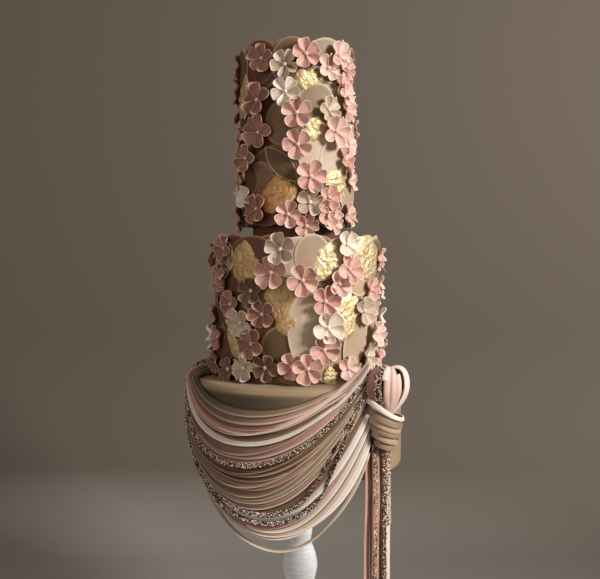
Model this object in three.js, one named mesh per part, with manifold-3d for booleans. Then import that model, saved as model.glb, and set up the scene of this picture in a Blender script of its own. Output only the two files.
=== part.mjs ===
// A tall birthday cake of three sugar-paste tiers on a white turned stand.
//
// The two upper tiers carry thin overlapping petal plaques and five-petalled blossoms.
// Flat strips hang in a swag across the plain bottom tier, meet in a looped knot at the
// right and fall from it as tails past the stand's stem.
//
// Millimetres, +Z up. The origin is the centre of the stand's underside and the shown
// side faces -Y. A bearing is an angle round a tier, from the shown side towards +X.

import * as THREE from 'three';
import { mergeVertices } from 'three/addons/utils/BufferGeometryUtils.js';
import Module from 'manifold-3d';

const wasm = await Module();
wasm.setup();

// ---------------------------------------------------------------- driving dimensions

const CLEARANCE = 0.35;                 // gap between pieces that touch
const SAME_POINT = 1e-4;                // corners closer than this are one
const SEAM_POINT = 0.03;                // and where two fused surfaces cross
const CAKE_SHIFT = -3;                  // the cake stands a little left of the stand's axis

const FOOT = { radius: 88, height: 24 };
const PLATE = { radius: 84, thickness: 6, top: 235 };
const TIERS = {
  bottom: { radius: 104, base: 235, height: 85, rim: 4, sides: 64 },
  middle: { radius: 79.5, base: 320, height: 131, rim: 3.5, sides: 48 },
  neck: { radius: 44, base: 451, height: 14, rim: 1, sides: 36 },
  top: { radius: 54, base: 465, height: 166, rim: 3, sides: 40 },
};

const PLAQUE = { relief: 2.2, bevel: 0.2, root: 1.6, sides: 8 };
const HIDDEN_SIDE = { from: 112, to: 258 };                // bearings that the shown side leaves out
const BLOSSOM = { petals: 5, thickness: 1.3, cup: 0.2, heart: 3, crown: 0.6, levelStep: 3.4, foot: 0.3 };
const PETAL_OUTLINE = [[-36, 0.45], [-26, 0.9], [0, 1.03], [26, 0.9]];    // degrees, share of the size

const SWAG = {
  firstRim: -62, lastRim: -104, rimPower: 0.35,           // bearings where the strips cross the rim
  end: 30.8, endRise: 18.5, endDrop: 33, endPlunge: 52,   // bearing of their ends, and heights from the rim
  leastSag: 27.5, addedSag: 67.5, sagPower: 0.39, roundness: 2.1,
  lean: 1.01, addedLean: 0.53, leanPower: 2.4,            // moves the lowest point towards the knot
  ledge: { along: 0.14, swing: 13, clear: 5 },            // the stretch across the ledge, up to the next tier
  strips: 11, sheetShare: 0.8, steps: 12,
  back: 1.2, thickness: 2.2, lap: 1.8, gather: 5,
};
const LOOSE_STRANDS = [
  { share: 0.835, width: 5 }, { share: 0.885, width: 6 }, { share: 0.93, width: 6 }, { share: 1, width: 4 },
];
const STRAND = { start: 0.03, thickness: 1.1, back: 0.13, backStep: 0.17, flare: 2.2, flarePower: 10 };

const KNOT = {
  bearing: 41.5, facing: 24, radius: 119.5, height: 300, forward: 1.2, sides: 20, rows: 19,
  beltStep: 11, beltTop: 4, beltFade: 8, beltTilt: 4, strips: 5, relief: 0.09,
  hollow: { across: 9, height: 25, width: 5, length: 9, depth: 0.75 },
};
const TAILS = {
  bearing: 39.5, clear: 3, top: 257.4, topFrom: 7, topRise: 1.3, width: 6.2, thickness: 1.6, steps: 9,
  spread: 0.12, wave: 0.2, waves: 2.5,
};

// ------------------------------------------------------------------------- finishes

const finish = (color, roughness, metalness = 0) =>
  new THREE.MeshStandardMaterial({ color, roughness, metalness });

const FINISHES = {
  paint: finish(0xe6e4de, 0.55),
  fondant: finish(0xb79a7d, 0.62),
  cocoa: finish(0x7a5a40, 0.6),
  strips: finish(0xb08a76, 0.6),
  rose: finish(0xd09c8c, 0.65),
  blush: finish(0xe3bfb0, 0.65),
  mauve: finish(0xa3796b, 0.65),
  ivory: finish(0xefe3d3, 0.65),
  taupe: finish(0xae9279, 0.65),
};

// ----------------------------------------------------------------- geometry helpers

const radians = THREE.MathUtils.degToRad;
const lerp = THREE.MathUtils.lerp;
const range = (count) => Array.from({ length: count }, (_, index) => index);

/** A repeatable stream of numbers from 0 to 1. */
function seededStream(seed) {
  let state = seed;
  return () => {
    state = (state * 16807) % 2147483647;
    return state / 2147483647;
  };
}

/** A point on a tier's wall, from its distance to the cake's axis, its bearing and its height. */
function wallPoint(radius, bearing, height) {
  const angle = radians(bearing);
  return [radius * Math.sin(angle), -radius * Math.cos(angle), height];
}

/** The turn that stands a piece up with its +Z facing out at a bearing, and its +X to the right. */
function facing(bearing) {
  const [outX, outY] = wallPoint(1, bearing, 0);
  return new THREE.Quaternion().setFromRotationMatrix(new THREE.Matrix4().makeBasis(
    new THREE.Vector3(-outY, outX, 0), new THREE.Vector3(0, 0, 1), new THREE.Vector3(outX, outY, 0)));
}

/** Builds an indexed geometry and turns its faces outwards where the winding came out inside. */
function closedGeometry(points, faces) {
  const position = new THREE.Float32BufferAttribute(points.flat(), 3);
  const corner = (index) => new THREE.Vector3().fromBufferAttribute(position, index);
  let volume = 0;
  for (const [a, b, c] of faces) volume += corner(a).dot(corner(b).cross(corner(c)));
  const geometry = new THREE.BufferGeometry();
  geometry.setAttribute('position', position);
  geometry.setIndex(faces.flatMap(([a, b, c]) => (volume < 0 ? [a, c, b] : [a, b, c])));
  return geometry;
}

/** Merges shared corners and drops faces that closed up at a pole or along a seam. */
function weld(geometry, tolerance = SAME_POINT) {
  const bare = geometry.clone();
  bare.deleteAttribute('normal');
  bare.deleteAttribute('uv');
  const merged = mergeVertices(bare, tolerance);
  const order = merged.index.array;
  const faces = [];
  for (let at = 0; at < order.length; at += 3) {
    const [a, b, c] = order.slice(at, at + 3);
    if (a !== b && b !== c && c !== a) faces.push([a, b, c]);
  }
  const place = merged.attributes.position;
  const points = range(place.count).map((i) => [place.getX(i), place.getY(i), place.getZ(i)]);
  return closedGeometry(points, faces);
}

function toSolid(geometry) {
  const welded = weld(geometry);
  return new wasm.Manifold(new wasm.Mesh({
    numProp: 3,
    vertProperties: new Float32Array(welded.attributes.position.array),
    triVerts: new Uint32Array(welded.index.array),
  }));
}

function toGeometry(solid) {
  const { vertProperties, triVerts } = solid.getMesh();
  const geometry = new THREE.BufferGeometry();
  geometry.setAttribute('position', new THREE.BufferAttribute(new Float32Array(vertProperties), 3));
  geometry.setIndex(new THREE.BufferAttribute(new Uint32Array(triVerts), 1));
  return geometry;
}

/** Joins overlapping closed geometries into one body. */
function fuse(geometries) {
  return weld(toGeometry(geometries.map(toSolid).reduce((whole, piece) => whole.add(piece))), SEAM_POINT);
}

/** A turned solid from a profile of [radius, height] pairs that starts and ends on the axis. */
function turned(profile, sides) {
  const outline = profile.map(([radius, height]) => new THREE.Vector2(radius, height));
  return weld(new THREE.LatheGeometry(outline, sides).rotateX(Math.PI / 2));
}

/** A slab between two grids of points, grid[row][column], closed round its four edges. */
function slab(outer, inner) {
  const rows = outer.length;
  const columns = outer[0].length;
  const at = (side, row, column) => (side * rows + row) * columns + column;
  const faces = [];
  const quad = (a, b, c, d) => faces.push([a, b, c], [a, c, d]);
  for (let row = 0; row + 1 < rows; row += 1) {
    for (let column = 0; column + 1 < columns; column += 1) {
      quad(at(0, row, column), at(0, row, column + 1), at(0, row + 1, column + 1), at(0, row + 1, column));
      quad(at(1, row, column), at(1, row + 1, column), at(1, row + 1, column + 1), at(1, row, column + 1));
    }
    quad(at(0, row, 0), at(0, row + 1, 0), at(1, row + 1, 0), at(1, row, 0));
    quad(at(0, row + 1, columns - 1), at(0, row, columns - 1), at(1, row, columns - 1),
      at(1, row + 1, columns - 1));
  }
  for (let column = 0; column + 1 < columns; column += 1) {
    quad(at(0, 0, column + 1), at(0, 0, column), at(1, 0, column), at(1, 0, column + 1));
    quad(at(0, rows - 1, column), at(0, rows - 1, column + 1), at(1, rows - 1, column + 1),
      at(1, rows - 1, column));
  }
  return closedGeometry([...outer.flat(), ...inner.flat()], faces);
}

// ------------------------------------------------------------------------ the stand

/** The turned foot: a broad disc with a rounded edge and a stepped top. */
function standFoot() {
  const { radius, height } = FOOT;
  return turned([
    [0, 0], [radius - 2, 0], [radius, 2.5], [radius, 8], [radius - 4, 12], [radius - 12, 14],
    [46, 17], [30, height], [0, height],
  ], 40);
}

/** The turned stem: a hidden lower vase and ring, the shown bulb, bead and waist, and a flared cap. */
function standStem() {
  const start = FOOT.height + CLEARANCE;
  const end = PLATE.top - PLATE.thickness - CLEARANCE;
  return turned([
    [0, start], [24, start], [24, 30], [17, 34], [12.5, 42], [11, 52], [14.5, 57], [14.5, 62],
    [10.5, 68], [10.5, 80], [12.2, 93], [14.7, 107], [17.6, 122], [15.6, 135], [11.4, 146], [11.2, 150],
    [12.3, 156], [12.3, 161], [10.6, 166], [14.8, 175], [13.3, 191], [17, 208], [30, end - 5], [32, end],
    [0, end],
  ], 18);
}

/** The round plate under the cake, hidden behind the bottom tier's edge. */
function standPlate() {
  const { radius, thickness, top } = PLATE;
  const upper = top - CLEARANCE;
  return turned([
    [0, top - thickness], [radius - 1.5, top - thickness], [radius, top - thickness + 1.5],
    [radius, upper], [0, upper],
  ], 40);
}

// ------------------------------------------------------------------------ the tiers

/** One covered tier: a drum with a softly rounded top edge. */
function drum({ radius, base, height, rim, sides }, lift = 0) {
  const top = base + height;
  const bend = range(3).map((step) => {
    const angle = radians(45 * step);
    return [radius - rim + rim * Math.cos(angle), top - rim + rim * Math.sin(angle)];
  });
  return turned([[0, base + lift], [radius, base + lift], ...bend, [0, top]], sides);
}

/** How far a plaque reaches from its middle at an angle round it, as a share of its size. */
const PLAQUE_SHAPES = {
  disc: () => 1,
  petal: (angle) => 1 + 0.16 * Math.cos(angle) - 0.06 * Math.cos(2 * angle),
  leaf: (angle) => 1 / (Math.abs(Math.cos(angle)) + Math.abs(Math.sin(angle)) ** 1.15),
};

/** A thin plaque wrapped on a tier's wall: its root is sunk in the wall, its face stands proud. */
function plaque(tier, { bearing, height, width, length, turn = 0, shape = 'petal' }) {
  const { relief, bevel, root, sides } = PLAQUE;
  const ringPoint = (share, reach, step) => {
    const angle = (2 * Math.PI * step) / sides;
    const size = share * PLAQUE_SHAPES[shape](angle);
    const [along, across] = [size * (length / 2) * Math.cos(angle), size * (width / 2) * Math.sin(angle)];
    const sideways = along * Math.sin(radians(turn)) + across * Math.cos(radians(turn));
    const upwards = along * Math.cos(radians(turn)) - across * Math.sin(radians(turn));
    const swing = THREE.MathUtils.radToDeg(sideways / tier.radius);
    return wallPoint(tier.radius + reach, bearing + swing, tier.base + height + upwards);
  };
  const around = range(sides);
  const points = [
    ringPoint(0, relief, 0), ...around.map((step) => ringPoint(1, relief - bevel, step)),
    ...around.map((step) => ringPoint(1, -root, step)), ringPoint(0, -root, 0),
  ];
  const last = points.length - 1;
  const faces = [];
  for (const step of around) {
    const next = (step + 1) % sides;
    const [rimA, rimB] = [1 + step, 1 + next];
    const [footA, footB] = [rimA + sides, rimB + sides];
    faces.push([0, rimA, rimB], [rimA, footA, footB], [rimA, footB, rimB], [last, footB, footA]);
  }
  return closedGeometry(points, faces);
}

// The big plaques that show between the blossoms, with their places on each tier's wall.
const TOP_PLAQUES = [
  { bearing: 20, height: 107, width: 38, length: 38, shape: 'disc' },
  { bearing: -20, height: 92, width: 32, length: 42, turn: 12 },
  { bearing: -62, height: 99, width: 36, length: 44 },
  { bearing: -15, height: 55, width: 20, length: 44, shape: 'leaf', turn: -42 },
  { bearing: 20, height: 62, width: 27, length: 42, turn: -6 },
  { bearing: 52, height: 62, width: 27, length: 40, turn: 6 },
  { bearing: 67, height: 21, width: 36, length: 34, shape: 'disc' },
  { bearing: -51, height: 36, width: 34, length: 44 },
  { bearing: 9, height: 17, width: 30, length: 27 },
  { bearing: 68, height: 107, width: 34, length: 38 },
];
const MIDDLE_PLAQUES = [
  { bearing: 5, height: 52, width: 26, length: 72, shape: 'leaf', turn: 6 },
  { bearing: -19, height: 29, width: 38, length: 38, shape: 'disc' },
  { bearing: -50, height: 71, width: 42, length: 38 },
  { bearing: 42, height: 38, width: 28, length: 56, shape: 'leaf', turn: 24 },
  { bearing: -62, height: 26, width: 40, length: 42 },
  { bearing: -19, height: 71, width: 34, length: 36, turn: 20 },
  { bearing: 70, height: 69, width: 38, length: 42 },
  { bearing: 73, height: 22, width: 36, length: 36, shape: 'disc' },
  { bearing: -87, height: 69, width: 38, length: 40 },
  { bearing: 26, height: 71, width: 27, length: 36, turn: -12 },
];

/** The petals that stand up round a tier's rim as a scalloped crown. */
function crown(tier, count, first, length, rise) {
  const width = (2 * Math.PI * tier.radius) / count - 2;
  return range(count).map((index) => ({
    bearing: first + (360 / count) * index, height: tier.height + rise - length / 2, width, length,
  }));
}

/** Plaques on the hidden side, in staggered rows that repeat the shown side's sizes. */
function hiddenPlaques(tier, rows, perRow, clearTop, seed) {
  const draw = seededStream(seed);
  return range(rows * perRow).map((index) => {
    const row = Math.floor(index / perRow);
    const place = (index % perRow) + (row % 2) / 2;
    return {
      bearing: lerp(HIDDEN_SIDE.from, HIDDEN_SIDE.to, (place + 0.25) / perRow),
      height: (tier.height - clearTop) * (row + 0.5) / rows,
      width: lerp(32, 37, draw()), length: lerp(34, 38, draw()), turn: lerp(-15, 15, draw()),
      shape: draw() < 0.5 ? 'disc' : 'petal',
    };
  });
}

function decoratedTier(tier, plaques) {
  return fuse([drum(tier, CLEARANCE), ...plaques.map((spec) => plaque(tier, spec))]);
}

// --------------------------------------------------------------------- the blossoms

/** A cupped five-petalled blossom, facing +Z on a flat heart that rests at height 0. */
function blossom(size) {
  const { petals, thickness, cup, heart, crown: rise } = BLOSSOM;
  const outline = range(petals).flatMap((petal) => {
    const middle = (360 / petals) * petal;
    return PETAL_OUTLINE.map(([swing, share]) => {
      const angle = radians(middle + swing);
      const reach = share * size;
      return [reach * Math.cos(angle), reach * Math.sin(angle), cup * (reach - heart)];
    });
  });
  const hub = range(petals).map((petal) => {
    const angle = radians((360 / petals) * (petal - 0.5));
    return [heart * Math.cos(angle), heart * Math.sin(angle), 0];
  });
  const points = [
    [0, 0, thickness + rise], ...outline.map(([x, y, z]) => [x, y, z + thickness]), ...outline, ...hub,
  ];
  const edge = outline.length;
  const hubStart = 1 + 2 * edge;
  const faces = [];
  for (const step of range(edge)) {
    const next = (step + 1) % edge;
    const [upper, upperNext] = [1 + step, 1 + next];
    const [lower, lowerNext] = [upper + edge, upperNext + edge];
    const petal = Math.floor(step / PETAL_OUTLINE.length);
    const along = step % PETAL_OUTLINE.length;
    const nearest = hubStart + (along < 2 ? petal : (petal + 1) % petals);
    faces.push([0, upper, upperNext], [upper, lower, lowerNext], [upper, lowerNext, upperNext]);
    faces.push([lowerNext, lower, nearest]);
    if (along === 1) faces.push([nearest, hubStart + ((petal + 1) % petals), lowerNext]);
  }
  for (const step of range(petals - 2)) faces.push([hubStart, hubStart + step + 2, hubStart + step + 1]);
  return closedGeometry(points, faces);
}

// Shown blossoms: finish, bearing, height above the tier's base and size from heart to petal tip.
const TOP_BLOSSOMS = [
  ['mauve', -34, 153.5, 13.2], ['rose', 8.5, 155, 13.5], ['blush', 43, 158, 12.6], ['ivory', -10.5, 121, 14.2],
  ['mauve', -37, 115, 15.2], ['rose', 0, 101, 13.8], ['taupe', 31, 106, 12.2], ['rose', 1, 73, 14],
  ['mauve', -38, 86, 15.2], ['blush', 37, 86, 14], ['rose', 13, 44, 15], ['mauve', -52, 63, 13.5],
  ['mauve', -41, 15, 14.6], ['rose', 31, 11, 13.8], ['rose', 53, 62, 12.6], ['rose', 48, 130, 12.8],
  ['mauve', -84, 132, 12.5],
];
const MIDDLE_BLOSSOMS = [
  ['rose', -16, 101, 15.5], ['taupe', -9.6, 121.6, 14.6], ['mauve', -59.5, 95, 13], ['rose', 3.5, 94, 14.1],
  ['rose', 35, 104, 14.2], ['rose', 18, 75, 14.6], ['taupe', 49, 65, 13.4], ['taupe', -38, 55, 13.7],
  ['mauve', -28, 37, 13.9], ['ivory', -83, 36, 13], ['taupe', -35.5, 13.6, 12.5], ['rose', 17.2, 31.6, 14.4],
  ['rose', 6.6, 15.6, 14], ['ivory', 19, 51.5, 15], ['blush', 34.5, 13.6, 12.4], ['taupe', 53, 23, 12.8],
  ['blush', 60, 43, 12],
];

/** Blossoms of the hidden side, climbing the wall in golden-section steps so that they spread evenly. */
function hiddenBlossoms(tier, count, seed) {
  const draw = seededStream(seed);
  const tones = ['rose', 'mauve', 'blush', 'taupe', 'ivory'];
  return range(count).map((index) => {
    const bearing = lerp(HIDDEN_SIDE.from, HIDDEN_SIDE.to - 6, (0.3 + 0.618 * index) % 1);
    return [tones[index % tones.length], bearing, tier.height * (index + 0.5) / count, lerp(12, 13.5, draw())];
  });
}

/** The level a blossom lies on: the first that clears every blossom placed before it. */
function restingLevel(tier, placed, [, bearing, height, size]) {
  const crowds = (other) => {
    const across = radians(bearing - other.bearing) * tier.radius;
    return Math.hypot(across, height - other.height) < size + other.size + BLOSSOM.foot;
  };
  const taken = placed.filter(crowds).map((other) => other.level);
  return [0, 1, 2, 3].find((level) => !taken.includes(level));
}

/** Every blossom of one tier as a node of its own, facing out from the wall. */
function blossomNodes(tier, tierName, specs) {
  const draw = seededStream(23 + tier.base);
  const placed = [];
  return specs.map((spec, index) => {
    const [tone, bearing, height, size] = spec;
    const level = restingLevel(tier, placed, spec);
    placed.push({ bearing, height, size, level });
    const node = new THREE.Mesh(blossom(size), FINISHES[tone]);
    node.name = `${tierName}_blossom_${String(index + 1).padStart(2, '0')}_${tone}`;
    const seat = tier.radius + PLAQUE.relief + CLEARANCE + level * BLOSSOM.levelStep;
    node.position.set(...wallPoint(seat, bearing, tier.base + height));
    node.quaternion.copy(facing(bearing));
    node.rotateZ(radians((360 / BLOSSOM.petals) * draw()));
    return node;
  });
}

// ------------------------------------------------------------------------- the swag

const RIM_HEIGHT = TIERS.bottom.base + TIERS.bottom.height;

/**
 * A point of the swag's surface. `share` runs from the uppermost strip, 0, to the lowest strand, 1.
 * `along` runs from the tier's rim, 0, to the knot, 1, and below 0 across the ledge to the tier above.
 */
function swagPoint(share, along, reach) {
  const { ledge } = SWAG;
  const rim = lerp(SWAG.firstRim, SWAG.lastRim, share ** SWAG.rimPower);
  if (along < 0) {
    const inward = Math.min(1, -along / ledge.along);
    const radius = lerp(TIERS.bottom.radius + 1, TIERS.middle.radius + ledge.clear, inward);
    return wallPoint(radius, rim - ledge.swing * inward, RIM_HEIGHT + reach);
  }
  const sag = SWAG.leastSag + SWAG.addedSag * share ** SWAG.sagPower;
  const bent = along ** (SWAG.lean + SWAG.addedLean * share ** SWAG.leanPower);
  const hang = 1 - Math.abs(1 - 2 * bent) ** SWAG.roundness;
  const endHeight = RIM_HEIGHT + SWAG.endRise - SWAG.endDrop * share - SWAG.endPlunge * share ** 3;
  const height = lerp(RIM_HEIGHT + 1, endHeight, along) - sag * hang;
  const gathered = reach > SWAG.back ? SWAG.gather * along ** 4 : 0;
  return wallPoint(TIERS.bottom.radius + reach + gathered, lerp(rim, SWAG.end, along), height);
}

const SWAG_STEPS = [
  -SWAG.ledge.along, -0.05, 0.004, ...range(SWAG.steps).map((step) => (step + 1) / SWAG.steps),
];

/** The close-laid strips as one pleated sheet: each laps over the next with its lower edge. */
function pleatedSheet() {
  const rows = range(2 * SWAG.strips).map((row) => {
    const strip = Math.floor(row / 2);
    const lower = row % 2;
    const share = SWAG.sheetShare * (strip + (lower ? 0.96 : 0.04)) / SWAG.strips;
    return { share, reach: SWAG.back + SWAG.thickness + (lower ? SWAG.lap : 0) };
  });
  const grid = (reachOf) => rows.map((row) =>
    SWAG_STEPS.map((along) => swagPoint(row.share, along, reachOf(row))));
  return slab(grid((row) => row.reach), grid(() => SWAG.back));
}

/** A single strand that hangs clear of the sheet and joins it at the rim and at the knot. */
function looseStrand({ share, width }, order) {
  const start = STRAND.start * (1 + order / LOOSE_STRANDS.length);
  const edge = (side, reach) => [start, ...SWAG_STEPS.filter((along) => along > start)].map((along) => {
    const [x, y, z] = swagPoint(share, along, reach);
    const flared = width * (1 + STRAND.flare * along ** STRAND.flarePower);
    return [x, y, z + side * flared / 2];
  });
  const near = SWAG.back + STRAND.back + STRAND.backStep * order;    // no two share a face where they cross
  const far = near + STRAND.thickness;
  return slab([edge(1, far), edge(-1, far)], [edge(1, near), edge(-1, near)]);
}

function swag() {
  return fuse([pleatedSheet(), ...LOOSE_STRANDS.map(looseStrand)]);
}

// ------------------------------------------------------------------------- the knot

/** The knot's own axes: across to the right, up, and out. It faces further forward than the wall does. */
function knotFrame() {
  const group = new THREE.Group();
  group.position.set(...wallPoint(KNOT.radius, KNOT.bearing, KNOT.height));
  group.quaternion.copy(facing(KNOT.facing));
  return group;
}

// The knot from its gathered foot to the top of its loop: height, half width, half depth, lean across.
const KNOT_OUTLINE = [
  [-41.5, 6, 5, -6], [-36, 11.5, 8.5, -5], [-27, 15.5, 11, -3], [-16, 17, 12, -2], [-7, 15.5, 10.5, -2],
  [2, 16, 10, -2], [13, 20, 11, -1], [25, 21, 11.5, 0], [34, 16.5, 11, 1], [40, 10, 8, 2], [42, 3, 4, 2.5],
];

/** The tied knot: tipped belts round its waist, and above them a loop of strips with a hollow inside. */
function knot() {
  const { beltStep, hollow, sides, rows } = KNOT;
  const line = new THREE.CatmullRomCurve3(KNOT_OUTLINE.map(([height, wide, deep]) =>
    new THREE.Vector3(height, wide, deep)));
  const leans = new THREE.CatmullRomCurve3(KNOT_OUTLINE.map(([height, , , lean]) =>
    new THREE.Vector3(height, lean, 0)));
  const ring = (row) => {
    const share = row / (rows - 1);
    const [height, wide, deep] = line.getPoint(share).toArray();
    const lean = leans.getPoint(share).y;
    return range(sides).map((step) => {
      const angle = (2 * Math.PI * step) / sides;
      const across = Math.cos(angle);
      const belted = Math.min(1, Math.max(0, (KNOT.beltTop - height) / KNOT.beltFade));
      const beltWave = belted * Math.cos((2 * Math.PI * (height + KNOT.beltTilt * across)) / beltStep);
      const stripWave = (1 - belted) * Math.cos(KNOT.strips * angle);
      const swell = 1 + KNOT.relief * (beltWave + stripWave);
      const out = deep * Math.sin(angle) * swell;
      const dent = Math.exp(-(((lean + wide * across - hollow.across) / hollow.width) ** 2)
        - ((height - hollow.height) / hollow.length) ** 2);
      const pressed = out > 0 ? out * (1 - hollow.depth * dent) : out;
      return [lean + wide * across * swell, height, KNOT.forward + pressed];
    });
  };
  const rings = range(rows).map(ring);
  const middle = (points) => [0, 1, 2].map((axis) =>
    points.reduce((sum, point) => sum + point[axis], 0) / points.length);
  const points = [middle(rings[0]), ...rings.flat(), middle(rings[rows - 1])];
  const last = points.length - 1;
  const faces = [];
  for (const step of range(sides)) {
    const next = (step + 1) % sides;
    faces.push([0, 1 + next, 1 + step], [last, last - sides + step, last - sides + next]);
    for (const row of range(rows - 1)) {
      const [a, b] = [1 + row * sides + step, 1 + row * sides + next];
      faces.push([a, b, b + sides], [a, b + sides, a + sides]);
    }
  }
  return closedGeometry(points, faces);
}

// ------------------------------------------------------------------------ the tails

// Each tail: offset across, distance out from the wall, height of its end, turn about its length.
const TAIL_PLACES = [
  ['rose', -8.5, 2, 84, 0], ['mauve', -4.9, 7.8, 72, -4], ['taupe', -1.1, 2, 96, 3],
  ['ivory', 3.3, 4.9, 118, 0], ['mauve', 6.3, 7.8, 78, 3], ['ivory', 9.1, 2, 90, -3],
  ['taupe', 13.7, 4.9, 192, 0], ['ivory', 16.5, 2, 76, 3],
];

/** A strap that hangs from the knot in a slight wave and spreads a little from its fellows. */
function tail(tier, [, across, out, endHeight, turn]) {
  const { bearing, clear, width, thickness, steps, spread, wave, waves } = TAILS;
  const start = TAILS.top + TAILS.topRise * Math.max(0, across - TAILS.topFrom);
  const corner = (step, side, depth) => {
    const share = step / steps;
    const ripple = wave * Math.sin(2 * Math.PI * waves * share + across);
    const sideways = across * (1 + spread * share) + side * (width / 2) * Math.cos(radians(turn));
    const outwards = out + ripple + side * (width / 2) * Math.sin(radians(turn)) + depth * thickness / 2;
    return [sideways, outwards, lerp(start, endHeight, share)];
  };
  const turnAngle = radians(bearing);
  const toCake = ([sideways, outwards, height]) => {
    const reach = tier.radius + clear + outwards;
    return [
      reach * Math.sin(turnAngle) + sideways * Math.cos(turnAngle),
      -reach * Math.cos(turnAngle) + sideways * Math.sin(turnAngle),
      height,
    ];
  };
  const face = (depth) => [-1, 1].map((side) =>
    range(steps + 1).map((step) => toCake(corner(step, side, depth))));
  return slab(face(1), face(-1));
}

// ----------------------------------------------------------------------- the object

function node(name, geometry, material) {
  const mesh = new THREE.Mesh(geometry, material);
  mesh.name = name;
  return mesh;
}

const cake = new THREE.Group();
cake.position.x = CAKE_SHIFT;
cake.add(
  node('bottom_tier', drum(TIERS.bottom), FINISHES.fondant),
  node('middle_tier', decoratedTier(TIERS.middle, [
    ...MIDDLE_PLAQUES, ...crown(TIERS.middle, 11, -31, 38, 3), ...hiddenPlaques(TIERS.middle, 2, 3, 36, 7),
  ]), FINISHES.cocoa),
  node('neck_tier', drum(TIERS.neck, CLEARANCE), FINISHES.cocoa),
  node('top_tier', decoratedTier(TIERS.top, [
    ...TOP_PLAQUES, ...crown(TIERS.top, 10, -40, 42, 6), ...hiddenPlaques(TIERS.top, 3, 2, 38, 11),
  ]), FINISHES.cocoa),
  node('swag', swag(), FINISHES.strips),
  ...blossomNodes(TIERS.top, 'top', [...TOP_BLOSSOMS, ...hiddenBlossoms(TIERS.top, 4, 5)]),
  ...blossomNodes(TIERS.middle, 'middle', [...MIDDLE_BLOSSOMS, ...hiddenBlossoms(TIERS.middle, 5, 9)]),
  ...TAIL_PLACES.map((place, index) =>
    node(`tail_${index + 1}`, tail(TIERS.bottom, place), FINISHES[place[0]])),
);
const tied = knotFrame();
tied.add(node('knot', knot(), FINISHES.strips));
cake.add(tied);

const group = new THREE.Group();
group.add(
  node('stand_foot', standFoot(), FINISHES.paint),
  node('stand_stem', standStem(), FINISHES.paint),
  node('stand_plate', standPlate(), FINISHES.paint),
  cake,
);

export default group;
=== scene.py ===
"""A tall birthday cake of three sugar-paste tiers on a white turned stand.

The two upper tiers are laid with thin overlapping plaques, gold leaf and five-petalled blossoms.
Flat strips hang in a swag across the plain bottom tier, meet in a looped knot and fall from it as
tails. Shapes are worked out in millimetres and turned to metres when a mesh is made. +Z is up, the
shown side faces -Y, and a bearing is an angle round the cake from the shown side towards +X.
"""
import logging
import math
from dataclasses import dataclass, field
from enum import Enum

import bpy
import numpy as np
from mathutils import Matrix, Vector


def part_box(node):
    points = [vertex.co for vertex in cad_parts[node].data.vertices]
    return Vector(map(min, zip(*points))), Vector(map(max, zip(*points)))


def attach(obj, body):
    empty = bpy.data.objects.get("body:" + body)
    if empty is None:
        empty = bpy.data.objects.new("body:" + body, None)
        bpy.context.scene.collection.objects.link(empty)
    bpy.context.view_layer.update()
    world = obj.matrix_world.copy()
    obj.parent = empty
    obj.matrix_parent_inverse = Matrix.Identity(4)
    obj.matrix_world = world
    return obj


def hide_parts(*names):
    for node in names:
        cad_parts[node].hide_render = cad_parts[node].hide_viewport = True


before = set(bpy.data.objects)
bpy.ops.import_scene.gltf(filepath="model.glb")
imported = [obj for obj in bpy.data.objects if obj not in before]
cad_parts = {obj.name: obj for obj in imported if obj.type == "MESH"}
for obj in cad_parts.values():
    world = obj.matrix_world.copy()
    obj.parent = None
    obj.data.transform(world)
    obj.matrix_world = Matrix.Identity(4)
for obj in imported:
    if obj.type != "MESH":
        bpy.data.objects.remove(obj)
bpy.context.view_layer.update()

log = logging.getLogger("cake")

MM = 0.001                       # one millimetre in metres
CAKE_AXIS = -3.0                 # the cake stands a little left of the stand's own axis
LEDGE = 320.0                    # height of the bottom tier's top
GRAIN_SEED = 19                  # starts the stream that scatters the sugar crystals
LEDGE_RUN = 0.14                 # how far the swag runs over the ledge, as a share of its length


class Tone(Enum):
    """The colours of sugar paste, by the words that the frame's blossoms carry."""

    ROSE = "rose"
    BLUSH = "blush"
    MAUVE = "mauve"
    IVORY = "ivory"
    TAUPE = "taupe"
    MOCHA = "mocha"
    CHOCOLATE = "chocolate"
    SAND = "sand"
    BRONZE = "bronze"
    DUSTY = "dusty_rose"
    KHAKI = "khaki"
    CREAM = "cream"


class Outline(Enum):
    """The three shapes that a plaque is cut to."""

    DISC = "disc"
    PETAL = "petal"
    LEAF = "leaf"


# ------------------------------------------------------------------------ small helpers


def linear(code: str) -> tuple[float, float, float, float]:
    """Turns an sRGB hex colour into the linear colour that a shader takes.

    Args:
        code: six hex digits after a hash.

    Returns:
        Red, green, blue and an alpha of one.
    """
    parts = [int(code[at:at + 2], 16) / 255 for at in (1, 3, 5)]
    red, green, blue = [p / 12.92 if p <= 0.04045 else ((p + 0.055) / 1.055) ** 2.4 for p in parts]
    return red, green, blue, 1.0


def smooth(share: np.ndarray) -> np.ndarray:
    """A soft step: 3s^2 - 2s^3 of the share, held between 0 and 1."""
    held = np.clip(share, 0.0, 1.0)
    return held * held * (3.0 - 2.0 * held)


def unit(vectors: np.ndarray) -> np.ndarray:
    """Each vector divided by its own length."""
    return vectors / np.maximum(np.linalg.norm(vectors, axis=-1, keepdims=True), 1e-9)


def wall_points(radius: np.ndarray, bearing: np.ndarray, height: np.ndarray) -> np.ndarray:
    """Points round the cake: radius times (sin, -cos) of the bearing, at a height.

    Args:
        radius: distance from the cake's axis, in mm.
        bearing: degrees from the shown side towards +X.
        height: mm above the stand's underside.

    Returns:
        The points, with x, y and z along the last axis.
    """
    angle = np.radians(bearing)
    parts = (CAKE_AXIS + radius * np.sin(angle), -radius * np.cos(angle), height)
    return np.stack(np.broadcast_arrays(*parts), axis=-1).astype(float)


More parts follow.
